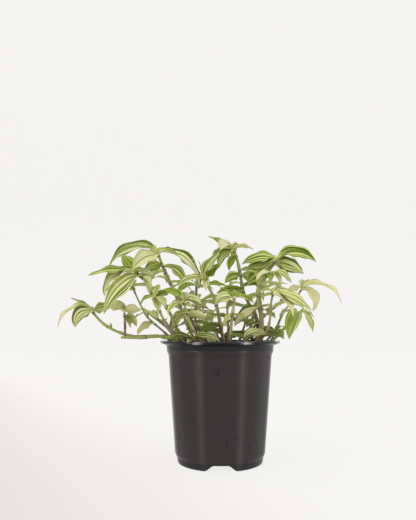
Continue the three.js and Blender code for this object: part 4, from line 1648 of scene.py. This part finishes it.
    def build(self, nodes: dict[str, Object]) -> list[Object]:
        """Makes a piece for every leafy stem.

        Args:
            nodes: the CAD nodes by name.

        Returns:
            The pieces.
        """
        tree = self.tree()
        sizes = {
            "Outline rise": self.outline_rise,
            "Outline fall": self.outline_fall,
            "Root fold": math.radians(self.fold_at_root),
            "Tip fold": math.radians(self.fold_at_tip),
            "Settled share": SETTLED_SHARE,
            "Thickness": self.thickness * MM,
            "Ripple": self.ripple,
            "Blade steps": self.blade_steps,
            "Blade sides": self.blade_sides,
            "Stem sides": self.stem_sides,
            "Leaf": self.leaf,
            "Stem": self.stem,
        }
        dice = Dice(self.seed)
        pieces = []
        for shoot in (*SHOOTS, *bush_shoots()):
            node = "leafy_stem_" + shoot.name
            drawing = self.draw(shoot, nodes[node], dice)
            piece = plain_piece(shoot.name + "_shoot", drawing, tree, sizes)
            for name in self.SPENT_FACTS:
                piece.data.attributes.remove(piece.data.attributes[name])
            dress(piece, "variegated_leaf", node)
            pieces.append(piece)
        return pieces


def corner_search(node: Object) -> KDTree:
    """Prepares a CAD node's corners for searching.

    Args:
        node: the node's object.

    Returns:
        A search tree of its corners in millimetres.
    """
    corners = node.data.vertices
    search = KDTree(len(corners))
    for index, corner in enumerate(corners):
        search.insert(corner.co / MM, index)
    search.balance()
    return search


def chosen_turn(blade: Blade, root: Vector, corners: KDTree) -> Row | None:
    """Finds the turn by which the part's source bent a blade clear, from the corners of its solid.

    Args:
        blade: the blade; a furled bud isn't in the solid and isn't turned.
        root: where it starts, in millimetres.
        corners: the corners of its CAD node.

    Returns:
        The turn as heading and rise, or None where the solid has no such blade.
    """
    if blade.furl != 1:
        return TURNS[0]
    shares = LONG_BLADE_SHARES if blade.length >= LONG_BLADE else SHORT_BLADE_SHARES

    def found(turn: Row) -> int:
        """Counts the midrib corners of the turned blade that the solid has.

        Args:
            turn: the turn that is tried.

        Returns:
            How many there are.
        """
        count = 0
        for share in shares:
            middle, face = blade.midrib(root, share, turn)
            for side in (SOLID_HALF, -SOLID_HALF):
                count += corners.find(middle + face * side)[2] < SOLID_NEAR
        return count

    best = max(TURNS, key=found)
    return best if found(best) >= SOLID_MATCHES else None


def lathe(name: str, rows: Sequence[Row], steps: int, place: Callable[[Row, float], Point]) -> Mesh:
    """Turns a section round the upright axis into a closed mesh.

    Args:
        name: the mesh's name.
        rows: the section, from the middle of the underside, up the outside and back to the axis.
        steps: how many steps there are round the axis.
        place: gives a corner's place in millimetres from its row and its angle in degrees.

    Returns:
        The mesh, in metres.
    """
    corners: list[Point] = []
    rings: list[list[int]] = []
    for row in rows:
        count = 1 if row[0] == 0 else steps
        rings.append([len(corners) + k for k in range(count)])
        corners.extend(place(row, 360 * k / steps) for k in range(count))
    faces: list[tuple[int, ...]] = []
    for below, above in zip(rings, rings[1:]):
        for k in range(steps):
            a, b = below[k % len(below)], below[(k + 1) % len(below)]
            c, d = above[(k + 1) % len(above)], above[k % len(above)]
            faces.append(tuple(dict.fromkeys((a, b, c, d))))
    mesh = bpy.data.meshes.new(name)
    mesh.from_pydata([Vector(corner) * MM for corner in corners], [], faces)
    mesh.shade_smooth()
    return mesh


def filleted(rows: Sequence[Row], size: float) -> list[Row]:
    """Rounds the corners of a section with short arcs.

    Args:
        rows: the section; the first two numbers of a row are its radius and height.
        size: how far an arc reaches from its corner, in millimetres.

    Returns:
        The section with three rows for each inner corner.
    """
    rounded = [rows[0]]
    for before, here, after in zip(rows, rows[1:], rows[2:]):
        ends = []
        for other in (before, after):
            gap = math.dist(here[:2], other[:2])
            reach = min(size, 0.45 * gap) / gap
            ends.append(tuple(mixed(a, b, reach) for a, b in zip(here, other)))
        start, end = ends
        middle = tuple((a + 2 * b + c) / 4 for a, b, c in zip(start, here, end))
        rounded.extend((start, middle, end))
    return [*rounded, rows[-1]]


@dataclass
class NurseryPot:
    """The thin plastic pot: rolled rim, beaded neck, eight soft ridges, notched foot and four drains."""

    plastic: Material
    height: float = 120
    rim_radius: float = 59.5
    rim_drop: float = 2.6
    neck_radius: float = 53.5
    neck_depth: float = 4.2
    shoulder_radius: float = 51.6
    shoulder_height: float = 107
    heel_radius: float = 44.9
    heel_height: float = 9.6
    foot_radius: float = 42.2
    foot_width: float = 5.4
    floor_lift: float = 5.5
    floor_radius: float = 33.5
    pad_radius: float = 13
    wall: float = 1.1
    ridge_count: int = 8
    ridge_height: float = 0.8
    ridge_spread: float = 7
    notch_count: int = 4
    notch_half: float = 22
    notch_slope: float = 13.5
    rim_dip: float = 0.5
    drain_count: int = 4
    drain_radius: float = 4
    drain_ring: float = 25
    drain_sides: int = 24
    plug_below: float = 4
    plug_above: float = 22
    fillet: float = 0.7
    steps: int = 192

    def section(self) -> list[Row]:
        """Gives the pot's section.

        Returns:
            Rows of radius, height and the shares of the ridges, of the notches' lift and of the rim's dips.
        """
        lip = self.height - self.rim_drop
        bead = self.shoulder_height + 3.2
        neck_foot = self.height - self.neck_depth
        ledge = self.floor_lift + self.wall
        rows = [
            (0, 0),
            (self.pad_radius, 0),
            (self.pad_radius + 4, self.floor_lift),
            (self.floor_radius, self.floor_lift),
            (self.foot_radius - self.foot_width, 0, 0, 1),
            (self.foot_radius, 0, 0, 1),
            (self.foot_radius + 1.2, 1.6, 0, 1),
            (self.heel_radius - 1.4, self.heel_height - 3.2),
            (self.heel_radius, self.heel_height, 0.5),
            (self.heel_radius + 0.3, self.heel_height + 5, 1),
            (self.shoulder_radius - 0.35, self.shoulder_height - 1.6, 1),
            (self.shoulder_radius, self.shoulder_height, 1),
            (self.shoulder_radius + 0.75, self.shoulder_height + 1.4, 0.6),
            (self.shoulder_radius + 0.95, bead - 0.7, 0.5),
            (self.shoulder_radius + 1.5, bead, 0.5),
            (self.shoulder_radius + 1.1, bead + 0.7, 0.5),
            (self.neck_radius - 0.3, neck_foot - 1.6, 0.4),
            (self.neck_radius + 0.25, neck_foot, 0.4),
            (self.rim_radius - 0.9, lip, 0, 0, 1),
            (self.rim_radius, lip + 0.6, 0, 0, 1),
            (self.rim_radius, self.height - 0.7, 0, 0, 1),
            (self.rim_radius - 0.8, self.height, 0, 0, 1),
            (self.neck_radius + 0.4, self.height),
            (self.neck_radius - self.wall, self.height - self.wall - 0.6, 0.4),
            (self.shoulder_radius - self.wall, self.shoulder_height + 0.3, 1),
            (self.heel_radius - self.wall, self.heel_height + 0.2, 0.5),
            (self.foot_radius + 0.2, 2.6, 0, 1),
            (self.foot_radius - 0.6, self.wall, 0, 1),
            (self.foot_radius - self.foot_width + 0.6, self.wall, 0, 1),
            (self.floor_radius + 0.6, ledge),
            (self.pad_radius + 3.4, ledge),
            (self.pad_radius - 0.6, self.wall),
            (0, self.wall),
        ]
        return filleted([(*row, 0, 0, 0)[:5] for row in rows], self.fillet)

    def ridge_share(self, angle: float) -> float:
        """How near an angle is to one of the eight ridges, 1 on the ridge."""
        gap = 360 / self.ridge_count
        return math.exp(-(((angle % gap - gap / 2) / self.ridge_spread) ** 2))

    def notch_share(self, angle: float) -> float:
        """Says how far the foot is lifted by one of its notches.

        Args:
            angle: the angle round the pot in degrees.

        Returns:
            The share of the lift, 1 along the top of a notch.
        """
        gap = 360 / self.notch_count
        off = abs((angle + gap / 2) % gap - gap / 2)
        share = min(1.0, max(0.0, (self.notch_half - off) / self.notch_slope))
        return share * share * (3 - 2 * share)

    def place(self, row: Row, angle: float) -> Point:
        """Places a corner of the pot.

        Args:
            row: its row of the section.
            angle: its angle round the pot in degrees.

        Returns:
            The corner in millimetres.
        """
        radius, height, ridge, notch, dip = row
        near = self.ridge_share(angle)
        out = radius + self.ridge_height * ridge * near
        up = height + self.floor_lift * notch * self.notch_share(angle) - self.rim_dip * dip * near
        around = math.radians(angle)
        return (out * math.cos(around), out * math.sin(around), up)

    def build(self) -> Object:
        """Makes the pot.

        Returns:
            The pot's piece.
        """
        pot = placed("nursery_pot", lathe("nursery_pot", self.section(), self.steps, self.place))
        drains = placed("drains", self.drains())
        cut = pot.modifiers.new("drains", "BOOLEAN")
        cut.operation = "DIFFERENCE"
        cut.solver = "EXACT"
        cut.object = drains
        scene_state = bpy.context.evaluated_depsgraph_get()
        mesh = bpy.data.meshes.new_from_object(pot.evaluated_get(scene_state), depsgraph=scene_state)
        for spare in (pot, drains):
            bpy.data.objects.remove(spare)
        mesh.materials.clear()
        mesh.materials.append(self.plastic)
        mesh.shade_smooth()
        piece = placed("nursery_pot", mesh)
        dress(piece, "black_plastic", "pot")
        return piece

    def drains(self) -> Mesh:
        """Makes the four round plugs that cut the drains.

        Returns:
            One mesh of four closed cylinders.
        """
        sides = self.drain_sides
        corners: list[Vector] = []
        faces: list[tuple[int, ...]] = []
        for k in range(self.drain_count):
            first = len(corners)
            middle = spoke(math.radians(360 * k / self.drain_count), self.drain_ring)
            for height in (-self.plug_below, self.plug_above):
                for side in range(sides):
                    rim = spoke(math.tau * side / sides, self.drain_radius)
                    corners.append((middle + rim + Vector((0, 0, height))) * MM)
            low = [first + side for side in range(sides)]
            high = [corner + sides for corner in low]
            faces += [tuple(reversed(low)), tuple(high)]
            for side in range(sides):
                after = (side + 1) % sides
                faces.append((low[side], low[after], high[after], high[side]))
        mesh = bpy.data.meshes.new("drains")
        mesh.from_pydata(corners, [], faces)
        return mesh


@dataclass
class PottingSoil:
    """The potting mix with its uneven top, and the bark and perlite that lie in it."""

    mix: Material
    bark: Material
    perlite: Material
    floor: float = 6.95
    foot_radius: float = 40.8
    heel_radius: float = 43.35
    heel_height: float = 10.4
    edge_radius: float = 49.95
    edge_height: float = 104.3
    edge_step: float = 0.6
    top: float = SOIL_HEIGHT
    doming: float = 2.4
    broad_lumps: Row = (0.09, 1.3)
    fine_lumps: Row = (0.4, 0.8)
    least_upward: float = 0.75
    lowest_bit: float = 100
    bark_size: float = 4.2
    bark_density: float = 62000.0
    bark_form: Point = (0.9, 0.5, 0.22)
    bark_seed: int = 4
    bark_detail: int = 1
    perlite_size: float = 2.6
    perlite_density: float = 16000.0
    perlite_form: Point = (0.62, 0.55, 0.5)
    perlite_seed: int = 11
    perlite_detail: int = 2
    least_bit: float = 0.45
    largest_bit: float = 1.25
    bit_tilt: float = 0.5
    bit_fineness: float = 700.0
    bit_roughness: float = 0.5
    rings: int = 30
    steps: int = 120

    def section(self) -> list[Row]:
        """Gives the soil's section.

        Returns:
            Rows of radius, height and share of the unevenness.
        """
        side = [
            (0, self.floor, 0),
            (self.foot_radius, self.floor, 0),
            (self.heel_radius, self.heel_height, 0),
            (self.edge_radius, self.edge_height, 0),
        ]
        surface = []
        for k in range(self.rings):
            inward = 1 - k / self.rings
            out = inward * (self.edge_radius - self.edge_step)
            fall = (out / self.edge_radius) ** self.doming
            surface.append((out, mixed(self.top, self.edge_height, fall), min(1.0, inward * 8, k / 2)))
        return [*side, *surface, (0, self.top, 0)]

    def place(self, row: Row, angle: float) -> Point:
        """Places a corner of the soil, lumpy on top.

        Args:
            row: its row of the section.
            angle: its angle round the pot in degrees.

        Returns:
            The corner in millimetres.
        """
        radius, height, rough = row
        around = math.radians(angle)
        x, y = radius * math.cos(around), radius * math.sin(around)
        lumps = 0.0
        for (fineness, size), layer in ((self.broad_lumps, 3), (self.fine_lumps, 9)):
            lumps += size * noise.noise(Vector((x, y, layer)) * fineness)
        return (x, y, height + rough * lumps)

    def tree(self) -> NodeTree:
        """Builds the geometry tree that strews bits over the soil's top.

        Returns:
            The geometry tree.
        """
        inputs = {
            "Geometry": ("Soil",),
            "Float": ("Bark per area", "Perlite per area", "Bark size", "Perlite size"),
            "Material": ("Mix", "Bark", "Perlite"),
        }
        graph, given = new_tree("strewn_bits", "GeometryNodeTree", inputs, {"Geometry": ("Geometry",)})
        bark = self.bits(graph, given, "Bark", self.bark_seed, self.bark_form, self.bark_detail)
        shape = (self.perlite_seed, self.perlite_form, self.perlite_detail)
        perlite = self.bits(graph, given, "Perlite", *shape)
        dressed = graph.covered(graph.real(graph.joined(given["Soil"], bark, perlite)), given["Mix"])
        for kind in ("Bark", "Perlite"):
            dressed = graph.covered(dressed, given[kind], graph.named(kind) > 0.5)
        return close_tree(graph, {"Geometry": dressed})

    def bits(self, graph: Graph, given: Wires, kind: str, seed: int, form: Point, detail: int) -> Wire:
        """Strews one kind of bit.

        Args:
            graph: the graph of the tree.
            given: its inputs.
            kind: Bark or Perlite.
            seed: the fixed seed of its random draws.
            form: how long, wide and thick a bit is, against its size.
            detail: how finely a bit is divided.

        Returns:
            The bits' mesh, which carries 1 under the name of its kind.
        """
        upward = graph.parts(graph.out("GeometryNodeInputNormal"))[2]
        height = graph.parts(graph.position())[2]
        values = {
            "Mesh": given["Soil"],
            "Selection": (upward > self.least_upward) * (height > self.lowest_bit * MM),
            "Density": given[kind + " per area"],
            "Seed": seed,
        }
        points = graph.out("GeometryNodeDistributePointsOnFaces", values)
        grain = graph.out("GeometryNodeMeshIcoSphere", {"Radius": 0.5, "Subdivisions": detail})
        sizes = {"Min_001": self.least_bit, "Max_001": self.largest_bit, "Seed": seed + 1}
        size = graph.out("FunctionNodeRandomValue", sizes) * given[kind + " size"]
        tilt = self.bit_tilt
        turns = {"Min": (-tilt, -tilt, 0.0), "Max": (tilt, tilt, math.tau), "Seed": seed + 2}
        values = {
            "Points": points,
            "Instance": grain,
            "Rotation": graph.out("FunctionNodeRandomValue", turns, data_type="FLOAT_VECTOR"),
            "Scale": graph.vector(*(size * share for share in form)),
        }
        copies = graph.real(graph.out("GeometryNodeInstanceOnPoints", values))
        fineness = {"Vector": graph.position(), "Scale": self.bit_fineness}
        rough = graph.out("ShaderNodeTexNoise", fineness, output="Color")
        centred = {"Vector": rough, "Vector_001": (0.5, 0.5, 0.5)}
        offset = graph.out("ShaderNodeVectorMath", centred, operation="SUBTRACT")
        deep = given[kind + " size"] * self.bit_roughness
        values = {"Geometry": copies, "Offset": offset * deep}
        return graph.kept(graph.out("GeometryNodeSetPosition", values), kind, 1.0)

    def build(self) -> Object:
        """Makes the soil.

        Returns:
            The soil's piece.
        """
        body = placed("soil_body", lathe("soil_body", self.section(), self.steps, self.place))
        values = {
            "Bark per area": self.bark_density,
            "Perlite per area": self.perlite_density,
            "Bark size": self.bark_size * MM,
            "Perlite size": self.perlite_size * MM,
            "Mix": self.mix,
            "Bark": self.bark,
            "Perlite": self.perlite,
        }
        piece = plain_piece("potting_mix_top", body, self.tree(), values)
        dress(piece, "potting_mix", "soil")
        return piece


@dataclass
class Studio:
    """The plain pale sweep, the soft lights and the photograph's camera."""

    paper: Material
    room: Colour = shade(246, 246, 246)
    room_strength: float = 1.36
    eye: Point = (-12, -500, 130)
    focal_pixels: float = 500
    horizon_below_middle: float = 70.5
    image_height: float = 520
    sensor: float = 36
    near: float = -1400
    far: float = 2600
    bend: float = 900
    bend_steps: int = 16
    top: float = 3000
    half_width: float = 3200

    def sweep(self) -> Object:
        """Makes the floor that curves up behind into a backdrop.

        Returns:
            The floor, marked as stage.
        """
        bend, flat_end = self.bend, self.far - self.bend
        line = [(self.near, 0), (flat_end, 0)]
        for k in range(1, self.bend_steps + 1):
            angle = math.radians(90 * k / self.bend_steps)
            line.append((flat_end + bend * math.sin(angle), bend - bend * math.cos(angle)))
        line.append((self.far, self.top))
        edges = (-self.half_width, self.half_width)
        corners = [Vector((x, y, z)) * MM for y, z in line for x in edges]
        faces = [(2 * k, 2 * k + 1, 2 * k + 3, 2 * k + 2) for k in range(len(line) - 1)]
        mesh = bpy.data.meshes.new("pale_sweep")
        mesh.from_pydata(corners, [], faces)
        mesh.shade_smooth()
        mesh.materials.append(self.paper)
        # The floor.
        floor = placed("pale_sweep", mesh)
        return floor

    def light(self, name: str, place: Point, aim: Point, size: tuple[float, float], power: float) -> None:
        """Adds a soft light panel that the camera doesn't see.

        Args:
            name: its name.
            place: where it stands, in millimetres.
            aim: what it points at, in millimetres.
            size: its width and height, in millimetres.
            power: its power in watts.
        """
        lamp = bpy.data.lights.new(name, "AREA")
        lamp.energy = power
        lamp.shape = "RECTANGLE"
        lamp.size, lamp.size_y = size[0] * MM, size[1] * MM
        holder = bpy.data.objects.new(name, lamp)
        holder.location = Vector(place) * MM
        holder.rotation_euler = (Vector(aim) - Vector(place)).to_track_quat("-Z", "Y").to_euler()
        holder.visible_camera = False
        bpy.context.scene.collection.objects.link(holder)

    def lights(self) -> None:
        """Sets the surrounding light and the soft lights."""
        world = bpy.data.worlds.new("soft_room")
        world.use_nodes = True
        room = world.node_tree.nodes["Background"]
        room.inputs["Color"].default_value = self.room
        room.inputs["Strength"].default_value = self.room_strength
        bpy.context.scene.world = world
        self.light("top", (-500, -350, 1500), (0, 0, 110), (1200, 1200), 1)
        self.light("front_top", (60, -1150, 1250), (0, 0, 130), (900, 900), 1.8)
        self.light("left_strip", (-860, -520, 180), (0, 0, 100), (90, 900), 3.4)
        self.light("right_strip", (720, -680, 180), (0, 0, 100), (90, 900), 3.4)

    def camera(self) -> None:
        """Sets the camera where the photograph was taken from, level, with the frame shifted upwards."""
        lens = bpy.data.cameras.new("photo_camera")
        lens.sensor_width = self.sensor
        lens.sensor_fit = "AUTO"
        lens.lens = self.sensor * self.focal_pixels / self.image_height
        lens.shift_y = self.horizon_below_middle / self.image_height
        lens.clip_start = 0.01
        holder = bpy.data.objects.new("photo_camera", lens)
        holder.location = Vector(self.eye) * MM
        holder.rotation_euler = (math.radians(90), 0, 0)
        bpy.context.scene.collection.objects.link(holder)
        bpy.context.scene.camera = holder

    def build(self) -> None:
        """Sets up the whole studio."""
        self.sweep()
        self.lights()
        self.camera()
        bpy.context.scene.view_settings.view_transform = "Standard"


def main() -> None:
    """Loads the frame, builds every piece over it and logs how many leafy stems and faces there are."""
    logging.basicConfig(level=logging.INFO, format="%(message)s")
    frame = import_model()
    Studio(StageFinish().make()).build()
    NurseryPot(PotPlasticFinish().make()).build()
    crumbs = (700.0, 0.52, 120.0, 0.35)
    mix = GrainFinish("potting_mix", shade(44, 33, 26), shade(84, 64, 48), 0.95, 0.2, crumbs, 0.0006)
    bark = GrainFinish("bark_bits", shade(96, 66, 44), shade(58, 40, 28), 0.85)
    perlite = GrainFinish("perlite_bits", shade(226, 222, 210), shade(190, 184, 170), 0.8)
    PottingSoil(mix.make(), bark.make(), perlite.make()).build()
    shoots = Foliage(LeafFinish().make(), StemFinish().make()).build(frame["nodes"])
    log.info("%d leafy stems, %d faces", len(shoots), sum(len(shoot.data.polygons) for shoot in shoots))
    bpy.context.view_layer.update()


if __name__ == "__main__":
    main()
